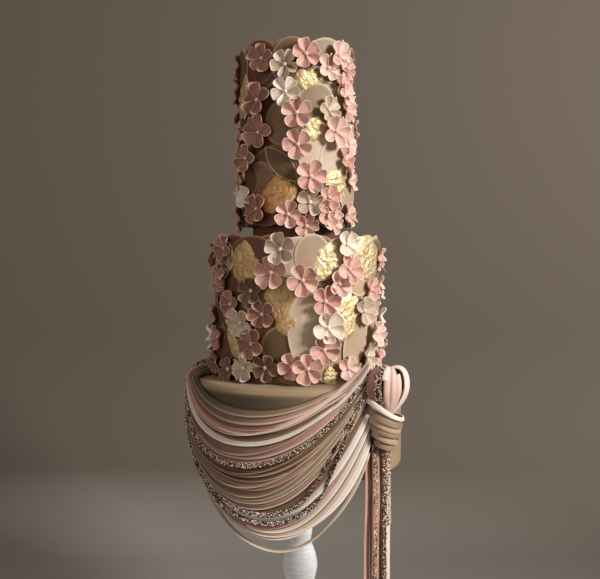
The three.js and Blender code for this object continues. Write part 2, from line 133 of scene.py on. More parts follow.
def turned_on_wall(turn: float, along: np.ndarray,
                   aside: np.ndarray) -> tuple[np.ndarray, np.ndarray]:
    """Turns a flat cut on the wall: its length goes from upright towards +X.

    Args:
        turn: degrees of turn.
        along: places along the cut's length.
        aside: places across it.

    Returns:
        The places sideways and upwards on the wall.
    """
    angle = np.radians(turn)
    return (along * np.sin(angle) + aside * np.cos(angle),
            along * np.cos(angle) - aside * np.sin(angle))


def squircle(count: int, flat: float = 0.6, round_off: float = 0.8) -> tuple[np.ndarray, np.ndarray]:
    """A flattened ring: the signed powers of cosine and sine of an angle that goes once round.

    Args:
        count: points round the ring.
        flat: power of the cosine, below one for square ends.
        round_off: power of the sine.

    Returns:
        The positions across and out, both from -1 to 1.
    """
    angle = np.linspace(0.0, 2.0 * np.pi, count, endpoint=False)
    across = np.sign(np.cos(angle)) * np.abs(np.cos(angle)) ** flat
    out = np.sign(np.sin(angle)) * np.abs(np.sin(angle)) ** round_off
    return across, out


# ----------------------------------------------------------------------------- surfaces


@dataclass
class Surface:
    """Closed skins of triangles, in mm, with numbers kept at each corner for the finishes."""

    points: np.ndarray
    faces: np.ndarray
    values: dict[str, np.ndarray] = field(default_factory=dict)

    @staticmethod
    def rings(rings: np.ndarray, values: dict[str, np.ndarray] | None = None,
              loop: bool = False) -> "Surface":
        """Skins over stacked rings. The middles of the first and the last ring close the two ends.

        Args:
            rings: points as (..., rows, around, 3), one skin for each leading index.
            values: numbers as (..., rows, around), for the finishes.
            loop: joins the last row to the first, as on a band, with no ends.

        Returns:
            The skins as one surface, with faces that point out.
        """
        rows, around = rings.shape[-3:-1]
        grids = rings.reshape(-1, rows * around, 3)
        row = np.arange(rows if loop else rows - 1)[:, None] * around
        above = (row + around) % (rows * around)
        step = np.arange(around)[None, :]
        beside = (step + 1) % around
        a, b, c, d = row + step, row + beside, above + beside, above + step
        faces = [np.stack([a, b, c], -1).reshape(-1, 3), np.stack([a, c, d], -1).reshape(-1, 3)]
        numbers = {name: np.broadcast_to(v, rings.shape[:-1]).reshape(-1, rows * around)
                   for name, v in (values or {}).items()}
        if not loop:
            ends = grids.reshape(-1, rows, around, 3)[:, [0, -1]].mean(axis=2)
            grids = np.concatenate([grids, ends], axis=1)
            first, last, start = rows * around, rows * around + 1, (rows - 1) * around
            around_ids, beside_ids = step.ravel(), beside.ravel()
            whole = np.full(around, 1)
            faces.append(np.stack([whole * first, beside_ids, around_ids], -1))
            faces.append(np.stack([whole * last, start + around_ids, start + beside_ids], -1))
            numbers = {name: np.concatenate(
                [v, v.reshape(-1, rows, around)[:, [0, -1]].mean(axis=2)], axis=1)
                for name, v in numbers.items()}
        face = np.concatenate(faces)
        per_skin = grids.shape[1]
        every = (face[None] + (np.arange(len(grids)) * per_skin)[:, None, None]).reshape(-1, 3)
        points = grids.reshape(-1, 3)
        corners = points[face] - points[:per_skin].mean(axis=0)
        volume = np.einsum("ij,ij->", corners[:, 0], np.cross(corners[:, 1], corners[:, 2]))
        every = every[:, ::-1] if volume < 0 else every
        return Surface(points, every, {name: v.ravel() for name, v in numbers.items()})

    @staticmethod
    def joined(parts: list["Surface"]) -> "Surface":
        """Lays several surfaces into one. A number that a part lacks is zero there.

        Args:
            parts: the surfaces, in order.

        Returns:
            One surface with the corners, faces and numbers of all of them.
        """
        starts = np.cumsum([0] + [len(part.points) for part in parts[:-1]])
        names = sorted({name for part in parts for name in part.values})
        values = {name: np.concatenate([part.values.get(name, np.zeros(len(part.points)))
                                        for part in parts]) for name in names}
        return Surface(np.concatenate([part.points for part in parts]),
                       np.concatenate([part.faces + at for part, at in zip(parts, starts)]), values)

    def piece(self, name: str, material: bpy.types.Material, slot: str, *replaced: str) -> bpy.types.Object:
        """Makes the finished piece, which rides on the cake's one body.

        Args:
            name: the piece's name.
            material: its finish.
            slot: the record's material slot; not used.
            replaced: the frame's nodes that it stands for.

        Returns:
            The object, at the origin, with its place in its mesh.
        """
        mesh = bpy.data.meshes.new(name)
        mesh.vertices.add(len(self.points))
        mesh.vertices.foreach_set("co", (self.points * MM).astype(np.float32).ravel())
        mesh.loops.add(self.faces.size)
        mesh.loops.foreach_set("vertex_index", self.faces.astype(np.int32).ravel())
        mesh.polygons.add(len(self.faces))
        mesh.polygons.foreach_set("loop_start", np.arange(0, self.faces.size, 3, dtype=np.int32))
        mesh.update(calc_edges=True)
        mesh.shade_smooth()
        for label, numbers in self.values.items():
            kept = mesh.attributes.new(label, "FLOAT", "POINT")
            kept.data.foreach_set("value", numbers.astype(np.float32))
        mesh.materials.append(material)
        obj = bpy.data.objects.new(name, mesh)
        bpy.context.scene.collection.objects.link(obj)
        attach(obj, "root")
        if replaced:
            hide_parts(*replaced)
        log.info("%-24s %7d triangles", name, len(self.faces))
        return obj


# ----------------------------------------------------------------------------- finishes


def add_node(tree: bpy.types.NodeTree, kind: str, inputs: dict | None = None, **settings) -> bpy.types.Node:
    """Adds one shader node with its settings and links.

    Args:
        tree: the material's node tree.
        kind: the node's type name.
        inputs: socket name or number to a value, or to the socket that feeds it.
        settings: the node's own properties.

    Returns:
        The node.
    """
    node = tree.nodes.new(kind)
    for name, value in settings.items():
        setattr(node, name, value)
    for name, value in (inputs or {}).items():
        if isinstance(value, bpy.types.NodeSocket):
            tree.links.new(value, node.inputs[name])
        else:
            node.inputs[name].default_value = value
    return node


def new_material(name: str) -> tuple[bpy.types.Material, bpy.types.NodeTree]:
    """An empty node material and its tree.

    Args:
        name: the material's name.

    Returns:
        The material and its node tree.
    """
    material = bpy.data.materials.new(name)
    material.use_nodes = True
    material.node_tree.nodes.clear()
    return material, material.node_tree


def per_metre(millimetres: float) -> float:
    """The scale that gives a pattern on Object coordinates features of that size."""
    return 1.0 / (millimetres * MM)


def mixed(tree: bpy.types.NodeTree, share: object, first: object,
          second: object) -> bpy.types.NodeSocket:
    """One colour laid over another by a share.

    Args:
        tree: the material's node tree.
        share: how much of the second colour shows, as a number or a socket.
        first: the colour below.
        second: the colour above.

    Returns:
        The socket that carries the result.
    """
    node = add_node(tree, "ShaderNodeMix", {0: share, 6: first, 7: second}, data_type="RGBA")
    return node.outputs[2]


def ranged(tree: bpy.types.NodeTree, value: bpy.types.NodeSocket, low: float, high: float,
           to_low: float = 0.0, to_high: float = 1.0) -> bpy.types.NodeSocket:
    """A value stretched from one span to another and held inside it.

    Args:
        tree: the material's node tree.
        value: the socket that gives the value.
        low: where its span starts.
        high: where its span ends.
        to_low: what the start becomes.
        to_high: what the end becomes.

    Returns:
        The socket that carries the result.
    """
    node = add_node(tree, "ShaderNodeMapRange", {0: value, 1: low, 2: high, 3: to_low, 4: to_high})
    return node.outputs[0]


@dataclass(frozen=True)
class SugarPaste:
    """Sugar paste, rolled out, cut and left to dry: matt, a little chalky, with a painted highlight at an
    edge.

    Its colour is kneaded in, so it wanders slightly from place to place. Painted shade darkens the
    petals towards the heart, the strips' tucked edges and the left side.
    """

    name: str
    body: str
    shade: str                   # where the kneaded colour is darker
    edge: str                    # painted highlight where it is cut or hemmed
    heart: str                   # painted shade: a petal's heart, a strip's tucked edge, the left side
    roughness: float = 0.58
    wander_mm: float = 16.0      # size of the patches where the kneaded colour wanders
    grain_mm: float = 0.9        # sugar grain, drawn coarser than the real 0.1 mm so that it shows
    bump_mm: float = 0.09

    def material(self) -> bpy.types.Material:
        """The paste's node material.

        Returns:
            The material.
        """
        material, tree = new_material(self.name)
        place = add_node(tree, "ShaderNodeTexCoord").outputs["Object"]
        tone, edge, deep = (add_node(tree, "ShaderNodeAttribute", attribute_name=kept).outputs["Fac"]
                            for kept in ("tone", "edge", "deep"))
        patches = add_node(tree, "ShaderNodeTexNoise", {
            "Vector": place, "Scale": per_metre(self.wander_mm), "Detail": 3.0}).outputs[0]
        grain = add_node(tree, "ShaderNodeTexNoise", {
            "Vector": place, "Scale": per_metre(self.grain_mm), "Detail": 2.0}).outputs[0]
        wander = add_node(tree, "ShaderNodeMath", {0: ranged(tree, patches, 0.35, 0.65, 0.0, 0.5),
                                                   1: tone}, operation="ADD")
        held = ranged(tree, wander.outputs[0], 0.0, 1.5)
        kneaded = mixed(tree, held, linear(self.body), linear(self.shade))
        # painted shade: the heart colour is laid where the 'deep' number is set
        painted_shade = mixed(tree, deep, kneaded, linear(self.heart))
        # painted highlight: the edge colour is laid where the 'edge' number is set
        cut = mixed(tree, edge, painted_shade, linear(self.edge))
        bump = add_node(tree, "ShaderNodeBump", {"Height": grain, "Strength": 0.7,
                                                 "Distance": self.bump_mm * MM})
        shader = add_node(tree, "ShaderNodeBsdfPrincipled", {
            "Base Color": cut, "Normal": bump.outputs[0], "Roughness": self.roughness,
            "IOR": 1.45, "Sheen Weight": 0.08, "Sheen Roughness": 0.5})
        add_node(tree, "ShaderNodeOutputMaterial", {"Surface": shader.outputs[0]})
        return material


@dataclass(frozen=True)
class GoldLeaf:
    """Gold leaf, beaten thin and laid on by brush: broken glints, with painted shade in its creases."""

    name: str = "gold_leaf_laid_on_paste"
    bright: str = "#f2e6bd"
    warm: str = "#dcc08a"
    # painted shade: the colour of the patches that lie in shade, laid by their tone number
    deep: str = "#c79557"
    # painted shade in the creases
    crease: str = "#94663a"
    patch_mm: float = 7.0        # size of the brighter and warmer patches
    crease_mm: float = 2.6
    relief_mm: float = 0.8       # depth of the creases
    roughness: float = 0.46

    def material(self) -> bpy.types.Material:
        """The leaf's node material: metal, creased by two sizes of noise.

        Returns:
            The material.
        """
        material, tree = new_material(self.name)
        place = add_node(tree, "ShaderNodeTexCoord").outputs["Object"]
        patches = add_node(tree, "ShaderNodeTexNoise", {
            "Vector": place, "Scale": per_metre(self.patch_mm), "Detail": 4.0}).outputs[0]
        creases = add_node(tree, "ShaderNodeTexNoise", {
            "Vector": place, "Scale": per_metre(self.crease_mm), "Detail": 5.0, "Roughness": 0.7,
            "Distortion": 1.2}).outputs[0]
        tone = add_node(tree, "ShaderNodeAttribute", attribute_name="tone").outputs["Fac"]
        pale = mixed(tree, ranged(tree, patches, 0.38, 0.62), linear(self.bright), linear(self.warm))
        # painted shade: patches with a tone number take the deeper gold
        gold_with_painted_shade = mixed(tree, tone, pale, linear(self.deep))
        # painted shade: the crease colour is laid where the crease noise is low
        colour = mixed(tree, ranged(tree, creases, 0.46, 0.3), gold_with_painted_shade, linear(self.crease))
        bump = add_node(tree, "ShaderNodeBump", {"Height": creases, "Strength": 1.0,
                                                 "Distance": self.relief_mm * MM})
        shader = add_node(tree, "ShaderNodeBsdfPrincipled", {
            "Base Color": colour, "Normal": bump.outputs[0], "Metallic": 0.7,
            "Roughness": self.roughness})
        add_node(tree, "ShaderNodeOutputMaterial", {"Surface": shader.outputs[0]})
        return material


@dataclass(frozen=True)
class SugarCrystal:
    """Coarse sugar crystals with a metallic lustre: dark, champagne and silver grains side by side."""

    name: str = "lustred_sugar_crystals"
    dark: str = "#3a2418"
    champagne: str = "#d3ad92"
    silver: str = "#fbf5ec"
    champagne_from: float = 0.42 # share of the grains that are dark
    silver_from: float = 0.7     # share that are dark or champagne

    def material(self) -> bpy.types.Material:
        """The grains' node material, which takes each grain's colour from its own number.

        Returns:
            The material.
        """
        material, tree = new_material(self.name)
        tone = add_node(tree, "ShaderNodeAttribute", attribute_name="tone").outputs["Fac"]
        ramp = add_node(tree, "ShaderNodeValToRGB", {"Fac": tone})
        ramp.color_ramp.interpolation = "CONSTANT"
        ramp.color_ramp.elements[0].color = linear(self.dark)
        ramp.color_ramp.elements[1].position = self.champagne_from
        ramp.color_ramp.elements[1].color = linear(self.champagne)
        ramp.color_ramp.elements.new(self.silver_from).color = linear(self.silver)
        shader = add_node(tree, "ShaderNodeBsdfPrincipled", {
            "Base Color": ramp.outputs[0], "Metallic": 0.2, "Roughness": 0.22})
        add_node(tree, "ShaderNodeOutputMaterial", {"Surface": shader.outputs[0]})
        return material


@dataclass(frozen=True)
class ChalkPaint:
    """Chalky white paint, brushed round turned wood: faint rings from the bristles, scuffed in places."""

    name: str = "brushed_chalk_paint"
    body: str = "#f1f5fb"
    shade: str = "#d6d4cf"
    worn: str = "#8f8b86"
    bristle_mm: float = 1.1
    bristle_depth_mm: float = 0.12
    drawn_out: float = 12.5      # how many times longer than high a bristle mark is
    scuff_mm: float = 9.0

    def material(self) -> bpy.types.Material:
        """The paint's node material: bristle marks run level round the turning.

        Returns:
            The material.
        """
        material, tree = new_material(self.name)
        place = add_node(tree, "ShaderNodeTexCoord").outputs["Object"]
        level = add_node(tree, "ShaderNodeMapping", {
            "Vector": place, "Scale": (1 / self.drawn_out, 1 / self.drawn_out, 1.0)})
        bristles = add_node(tree, "ShaderNodeTexNoise", {
            "Vector": level.outputs[0], "Scale": per_metre(self.bristle_mm), "Detail": 3.0}).outputs[0]
        patches = add_node(tree, "ShaderNodeTexNoise", {
            "Vector": place, "Scale": per_metre(self.scuff_mm), "Detail": 6.0,
            "Roughness": 0.65}).outputs[0]
        brushed = mixed(tree, ranged(tree, bristles, 0.3, 0.75), linear(self.body), linear(self.shade))
        scuffed = mixed(tree, ranged(tree, patches, 0.64, 0.72, 0.0, 0.75), brushed, linear(self.worn))
        bump = add_node(tree, "ShaderNodeBump", {"Height": bristles, "Strength": 0.5,
                                                 "Distance": self.bristle_depth_mm * MM})
        shader = add_node(tree, "ShaderNodeBsdfPrincipled", {
            "Base Color": scuffed, "Normal": bump.outputs[0], "Roughness": 0.5, "IOR": 1.5})
        add_node(tree, "ShaderNodeOutputMaterial", {"Surface": shader.outputs[0]})
        return material


PASTES = {
    Tone.ROSE: SugarPaste("rose_sugar_paste", "#ebbdae", "#bb8576", "#f7ddd2", "#8f5144"),
    Tone.BLUSH: SugarPaste("blush_sugar_paste", "#f0d0c2", "#d8ab9c", "#faebe1", "#b67a6b"),
    Tone.MAUVE: SugarPaste("mauve_sugar_paste", "#b3836f", "#8b5b4a", "#dfb7a6", "#613829"),
    Tone.IVORY: SugarPaste("ivory_sugar_paste", "#f3e7d8", "#e3cfbb", "#fdf7ec", "#bd9680"),
    Tone.TAUPE: SugarPaste("taupe_sugar_paste", "#d8c2ac", "#bba188", "#f1e4d4", "#866a56"),
    Tone.MOCHA: SugarPaste("mocha_sugar_paste", "#86654c", "#6c4e38", "#b3957a", "#483021"),
    Tone.CHOCOLATE: SugarPaste("chocolate_sugar_paste", "#6d3f29", "#512b1b", "#9c755b", "#2a150b"),
    Tone.SAND: SugarPaste("sand_sugar_paste", "#bfa58a", "#a98f75", "#e6d4ba", "#876a51"),
    Tone.BRONZE: SugarPaste("bronze_sugar_paste", "#6b4e31", "#583d25", "#c6ab83", "#3c2a1a"),
    Tone.DUSTY: SugarPaste("dusty_rose_sugar_paste", "#c69787", "#a57466", "#f3d9cb", "#47281f"),
    Tone.KHAKI: SugarPaste("khaki_sugar_paste", "#a0876a", "#80694e", "#e0cdb0", "#33231a"),
    Tone.CREAM: SugarPaste("cream_sugar_paste", "#f8e9db", "#e5cebd", "#fffaf2", "#7d6050"),
}
# the tier paste's heart colour is the painted shade on the left of the bottom tier
TIER_PASTE = SugarPaste("tan_rolled_sugar_paste", "#a98e70", "#9c8264", "#cdb494", "#483a26",
                        wander_mm=60.0, bump_mm=0.05)


class Finishes:
    """Makes each material once and hands it out."""

    def __init__(self) -> None:
        """Makes every material of the cake and of its stand."""
        self.paste = {tone: paste.material() for tone, paste in PASTES.items()}
        self.tier = TIER_PASTE.material()
        self.gold = GoldLeaf().material()
        self.crystal = SugarCrystal().material()
        self.paint = ChalkPaint().material()


# -------------------------------------------------------------- turned parts and bands


def light_edges(ring_across: np.ndarray, steps: int, most: float) -> dict[str, np.ndarray]:
    """The numbers of a band whose two long edges carry a painted highlight and whose colour is even.

    Args:
        ring_across: the ring's places across the band, from -1 to 1.
        steps: rings along the band.
        most: how strong the painted highlight is at the very edge.

    Returns:
        The numbers by name, one for each corner.
    """
    # painted highlight along both long edges
    edge = smooth((np.abs(ring_across) - 0.8) / 0.2)[None, :] * np.ones((steps, 1))
    return {"edge": most * edge, "tone": np.full_like(edge, 0.3)}


def turned(profile: np.ndarray, axis: float, around: int = 128) -> Surface:
    """A turned skin: each profile point goes once round the axis.

    Args:
        profile: radius and height pairs, from one end to the other.
        axis: the axis's place along X, in mm.
        around: points round each ring.

    Returns:
        The closed skin.
    """
    angle = np.linspace(0.0, 2.0 * np.pi, around, endpoint=False)
    radius, height = profile[:, :1], profile[:, 1:]
    rings = np.stack(np.broadcast_arrays(axis + radius * np.sin(angle), -radius * np.cos(angle),
                                         height), axis=-1)
    return Surface.rings(rings)


def drum_profile(radius: float, foot: float, top: float, rim: float,
                 steps: tuple[int, int, int]) -> np.ndarray:
    """A drum's profile: straight up, a quarter circle at the edge, and level towards the axis.

    Args:
        radius: the wall's distance from the axis.
        foot: the height where the wall starts.
        top: the height of its top.
        rim: the radius of its edge.
        steps: points up the wall, round the edge and across the top.

    Returns:
        Radius and height pairs from the foot up.
    """
    side = np.linspace(foot, top - rim, steps[0])
    bend = np.radians(np.linspace(0.0, 90.0, steps[1]))
    across = np.linspace(radius - rim, 1.0, steps[2])[1:]
    return np.concatenate([
        np.stack([np.full_like(side, radius), side], axis=-1),
        np.stack([radius - rim + rim * np.cos(bend), top - rim + rim * np.sin(bend)], axis=-1),
        np.stack([across, np.full_like(across, top)], axis=-1)])


def node_points(node: str) -> np.ndarray:
    """A frame node's corners.

    Args:
        node: the node's name.

    Returns:
        The corners in mm, one a row.
    """
    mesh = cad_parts[node].data
    flat = np.empty(len(mesh.vertices) * 3, dtype=np.float32)
    mesh.vertices.foreach_get("co", flat)
    return flat.reshape(-1, 3).astype(float) / MM


@dataclass
class Stand:
    """The turned stand: a foot, a stem and a plate, each smoother than its frame node."""

    rounding: int = 6            # steps that round off each stretch of a profile

    def profile(self, node: str) -> np.ndarray:
        """The node's turned profile: its largest radius at each height, rounded by a spline.

        The spline is a Catmull-Rom one: a cubic between each two points, whose slope at a point is
        half the way from the point before it to the point after it.

        Args:
            node: the frame's node.

        Returns:
            Radius and height pairs from the underside up, with flat ends closed by the skin.
        """
        points = node_points(node)
        heights = np.unique(np.round(points[:, 2], 2))
        reach = np.hypot(points[:, 0], points[:, 1])
        radii = np.array([reach[np.abs(points[:, 2] - height) < 0.02].max() for height in heights])
        rough = np.stack([radii, heights], axis=-1)
        share = np.linspace(0.0, 1.0, self.rounding, endpoint=False)[:, None]
        padded = np.concatenate([rough[:1], rough, rough[-1:]])
        spans = [0.5 * (2 * b + (c - a) * share + (2 * a - 5 * b + 4 * c - d) * share ** 2
                        + (3 * b - a - 3 * c + d) * share ** 3)
                 for a, b, c, d in zip(padded, padded[1:], padded[2:], padded[3:])]
        line = np.concatenate([*spans, rough[-1:]])
        line[:, 0] = np.minimum(line[:, 0], radii.max())
        return line

    def build(self, finishes: Finishes) -> None:
        """Turns the three pieces and paints them."""
        for node in ("stand_foot", "stand_stem", "stand_plate"):
            turned(self.profile(node), 0.0).piece(node + "_painted", finishes.paint, "painted_wood", node)


# ------------------------------------------------------------------------------- plaques


@dataclass
class Plaque:
    """One thin cut of paste on a tier's wall, with its place, size, turn and colour."""

    bearing: float
    height: float
    width: float
    length: float
    tone: Tone
    outline: Outline = Outline.PETAL
    turn: float = 0.0
    lift: float = 1.4            # mm from the wall to its middle
    curl: float = 0.5            # mm that its edge stands up

    def reach_round(self, angle: np.ndarray) -> np.ndarray:
        """How far the cut reaches round its middle: nearly one for a disc, longer at a petal's tip.

        Args:
            angle: the angles round its middle, from its length.

        Returns:
            The reach at each angle, as a share of half its size.
        """
        if self.outline is Outline.DISC:
            return 1.0 + 0.025 * np.sin(3 * angle + self.bearing)
        if self.outline is Outline.LEAF:
            return np.ones_like(angle)
        return 1.0 + 0.16 * np.cos(angle) - 0.06 * np.cos(2 * angle)


@dataclass
class PlaqueCutter:
    """Cuts plaques: flat rings that are wrapped on the wall, waved at the edge and curled up."""

    thickness: float = 0.6
    around: int = 44
    shares: tuple[float, ...] = (0.12, 0.4, 0.66, 0.84, 0.93, 0.985, 1.0, 0.985, 0.9, 0.5)
    sides: tuple[float, ...] = (1, 1, 1, 1, 1, 1, 0, -1, -1, -1)

    def cut(self, spec: Plaque, radius: float, base: float, draw: np.random.Generator) -> Surface:
        """One plaque.

        At share s and angle a it lies s times the cut's reach from its middle. It stands off the wall
        by its lift, plus waves round its edge that grow as s^4, plus a curl as s^8.

        Args:
            spec: the plaque.
            radius: the tier's wall, in mm from the axis.
            base: the tier's lowest height.
            draw: the seeded stream for its waves.

        Returns:
            The closed skin, with a painted highlight on its cut edge.
        """
        angle = np.linspace(0.0, 2.0 * np.pi, self.around, endpoint=False)[None, :]
        share = np.array(self.shares)[:, None]
        side = np.array(self.sides)[:, None]
        reach = share * spec.reach_round(angle)
        along, across = reach * spec.length / 2 * np.cos(angle), reach * spec.width / 2 * np.sin(angle)
        if spec.outline is Outline.LEAF:
            across = across * np.abs(np.sin(angle)) ** 0.85
        sideways, upwards = turned_on_wall(spec.turn, along, across)
        waves = np.sin(draw.integers(3, 6) * angle + draw.uniform(0, 6.28))
        waves = 0.55 * waves + 0.45 * np.sin(draw.integers(5, 9) * angle + draw.uniform(0, 6.28))
        curl = spec.curl * (0.55 + 0.45 * np.sin(angle + draw.uniform(0, 6.28)))
        stand = spec.lift + self.thickness / 2 * side + 0.45 * waves * share ** 4 + curl * share ** 8
        middle_line = 0.35 * np.exp(-(across / 1.4) ** 2) * (spec.outline is Outline.LEAF)
        rings = wall_points(radius + stand - middle_line,
                            spec.bearing + np.degrees(sideways / radius), base + spec.height + upwards)
        # painted highlight round the front of the cut edge
        edge = np.where(side >= 0, smooth((share - 0.9) / 0.08), 0.0) * np.ones_like(angle)
        tone = draw.uniform(0.0, 0.7)
        return Surface.rings(rings, {"edge": 0.9 * edge, "tone": np.full_like(edge, tone)})


# ------------------------------------------------------------------------------ blossoms


@dataclass
class Blossoms:
    """Places of many blossoms, one entry a blossom in each array, and how the blossoms are shaped."""

    bearing: np.ndarray
    height: np.ndarray
    seat: np.ndarray             # mm from the cake's axis to the back of the heart
    size: np.ndarray             # mm from the heart to a petal's tip
    turn: np.ndarray             # degrees round the heart
    petals: int = 5
    around: int = 20
    thickness: float = 0.85
    shares: tuple[float, ...] = (0.15, 0.42, 0.66, 0.82, 0.9, 0.98, 1.02, 0.99, 0.9, 0.5)
    sides: tuple[float, ...] = (1, 1, 1, 1, 1, 0.95, 0, -0.95, -1, -1)

    def placed(self, across: np.ndarray, up: np.ndarray, out: np.ndarray) -> np.ndarray:
        """Points given across, up and out from each blossom's heart, set on the wall.

        Args:
            across: mm to the right, with one leading entry a blossom.
            up: mm up.
            out: mm away from the cake's axis, over the blossom's seat.

        Returns:
            The points, with x, y and z along the last axis.
        """
        extra = (1,) * (across.ndim - 1)
        bearing = np.radians(self.bearing).reshape(-1, *extra)
        seat = self.seat.reshape(-1, *extra) + out
        x = CAKE_AXIS + seat * np.sin(bearing) + across * np.cos(bearing)
        y = -seat * np.cos(bearing) + across * np.sin(bearing)
        z = self.height.reshape(-1, *extra) + up
        return np.stack(np.broadcast_arrays(x, y, z), axis=-1)

    def petals_skin(self, draw: np.random.Generator) -> Surface:
        """All petals. Each is a ball flattened on a petal's outline and cupped.

        At share s and angle a round it, a petal point lies at (.54 + .46 s cos a) of the blossom's
        size from the heart, and s sin a (.37 + .19 s cos a) of it aside. It rises as the square of
        both distances, dips along its middle line, turns up at the edge as s^6 and falls back with
        the wall's curve.

        Args:
            draw: the seeded stream for each petal's own length, lift, twist and shade.

        Returns:
            The closed skins, with numbers for their painted edge highlight, painted shade towards the heart
            and tone.
        """
        count = (len(self.size), self.petals)
        each = (*count, 1, 1)
        angle = np.linspace(0.0, 2.0 * np.pi, self.around, endpoint=False)
        share = np.array(self.shares)[:, None]
        side = np.array(self.sides)[:, None]
        size = self.size.reshape(-1, 1, 1, 1) * draw.uniform(0.96, 1.09, each)
        aside = share * np.sin(angle) * (0.365 + 0.185 * share * np.cos(angle))
        aside = aside * draw.uniform(0.94, 1.1, each)
        notch = 0.07 * np.exp(-(np.sin(angle) / 0.3) ** 2) * (np.cos(angle) > 0) * share ** 3
        forth = 0.54 + 0.46 * share * np.cos(angle) - notch * draw.uniform(0.0, 1.0, each)
        cup = draw.uniform(0.12, 0.36, each)
        dip = 0.03 * np.exp(-(aside / 0.08) ** 2)
        rise = cup * forth ** 2 + 1.7 * aside ** 2 - dip + draw.uniform(0.03, 0.1, each) * share ** 6
        rise = rise + draw.uniform(-0.3, 0.3, each) * aside * forth
        out = size * rise + self.thickness / 2 * (side + 1)
        middles = self.turn[:, None] + 360.0 / self.petals * np.arange(self.petals)[None, :]
        spin = np.radians(middles + draw.uniform(-4.5, 4.5, count)).reshape(each)
        across, up = size * aside, size * forth
        tilt_x, tilt_y = draw.uniform(-0.12, 0.12, (2, len(self.size), 1, 1, 1))
        level_x = across * np.cos(spin) + up * np.sin(spin)
        level_y = up * np.cos(spin) - across * np.sin(spin)
        bent = level_x ** 2 / (2.0 * self.seat.reshape(-1, 1, 1, 1))
        rings = self.placed(level_x, level_y, out + tilt_x * level_x + tilt_y * level_y - bent)
        front = np.broadcast_to(side, share.shape) > -0.5
        # painted highlight on the front of each petal's rim
        edge = 0.9 * smooth((share - 0.86) / 0.1) * front * np.ones_like(out)
        # painted shade towards the heart, where the petals meet
        deep = 0.75 * smooth((0.4 - forth) / 0.36) * np.ones_like(out)
        tone = draw.uniform(0.0, 1.0, each) * np.ones_like(out)
        return Surface.rings(rings, {"edge": edge, "deep": deep, "tone": tone})

    def beads(self, radius: float = 1.95) -> Surface:
        """A small ball at each heart: rows of a sphere, a little flattened outwards.

        Args:
            radius: the ball's radius, in mm.

        Returns:
            The closed skins.
        """
        latitude = np.linspace(-0.46, 0.46, 6)[:, None] * np.pi
        angle = np.linspace(0.0, 2.0 * np.pi, 10, endpoint=False)[None, :]
        shape = (len(self.size), 1, 1)
        across = radius * np.cos(latitude) * np.sin(angle) * np.ones(shape)
        up = radius * np.cos(latitude) * np.cos(angle) * np.ones(shape)
        out = 1.9 + 0.85 * radius * np.sin(latitude) * np.ones((*shape[:1], 1, 10))
        return Surface.rings(self.placed(across, up, out))


# ----------------------------------------------------------------------------- gold leaf


@dataclass
class LeafPatch:
    """One piece of gold leaf: its place on the wall, width, height, turn and how much painted shade its
    gold takes.
    """

    bearing: float
    height: float
    width: float
    length: float
    turn: float = 0.0
    # share of painted shade, set on the patches that lie in shade on the left
    deep: float = 0.0
    lift: float = 2.3            # mm from the wall to its edge's middle


@dataclass
class Gilder:
    """Lays crinkled gold leaf: an uneven outline filled with creases, and a thin torn edge."""

    rows: int = 20
    around: int = 64
    crinkle: float = 0.6

    def lay(self, spec: LeafPatch, radius: float, base: float, draw: np.random.Generator) -> Surface:
        """One patch.

        Its outline is one plus four sine waves round the middle. The front is creased by the absolute
        values of five plane waves that cross at random angles, and the edge thins to nothing.

        Args:
            spec: the patch.
            radius: the wall's distance from the axis.
            base: the tier's lowest height.
            draw: the seeded stream for outline and creases.

        Returns:
            The closed skin.
        """
        angle = np.linspace(0.0, 2.0 * np.pi, self.around, endpoint=False)[None, :]
        front = np.linspace(0.08, 1.0, self.rows)
        share = np.concatenate([front, [0.93, 0.5]])[:, None]
        side = np.concatenate([np.ones(self.rows), [0.0, 0.0]])[:, None]
        outline = 1.0 + sum(size * np.sin(waves * angle + draw.uniform(0, 6.28))
                            for waves, size in ((2, 0.1), (3, 0.08), (5, 0.06), (9, 0.035), (14, 0.02)))
        aside = share * outline * spec.width / 2 * np.sin(angle)
        along = share * outline * spec.length / 2 * np.cos(angle)
        sideways, upwards = turned_on_wall(spec.turn, along, aside)
        creases = np.zeros_like(sideways)
        for wave_mm in (9.0, 6.5, 5.0, 3.8, 3.0):
            way = draw.uniform(0.0, np.pi)
            wave = (sideways * np.cos(way) + upwards * np.sin(way)) / wave_mm + draw.uniform(0, 1)
            creases += np.abs(np.sin(np.pi * wave + 0.8 * np.sin(upwards / 2.3))) * wave_mm / 9.0
        inside = 1.0 - share ** 5
        stand = spec.lift - 0.7 + (0.5 + self.crinkle * creases) * inside + 0.3 * (side - 0.5)
        rings = wall_points(radius + stand, spec.bearing + np.degrees(sideways / radius),
                            base + spec.height + upwards)
        return Surface.rings(rings, {"tone": np.full(rings.shape[:-1], spec.deep)})


# ---------------------------------------------------------------------- decorated tiers


@dataclass
class Extra:
    """A blossom that is too many for the frame: its tone, bearing, height over the base and size."""

    tone: Tone
    bearing: float
    height: float
    size: float


@dataclass(frozen=True)
class Seated:
    """A blossom set on a tier: the frame's node that it stands for, if any, its tone and place."""

    node: str
    tone: Tone
    bearing: float
    height: float                # mm above the stand's underside
    seat: float                  # mm from the cake's axis to the back of the heart
    size: float


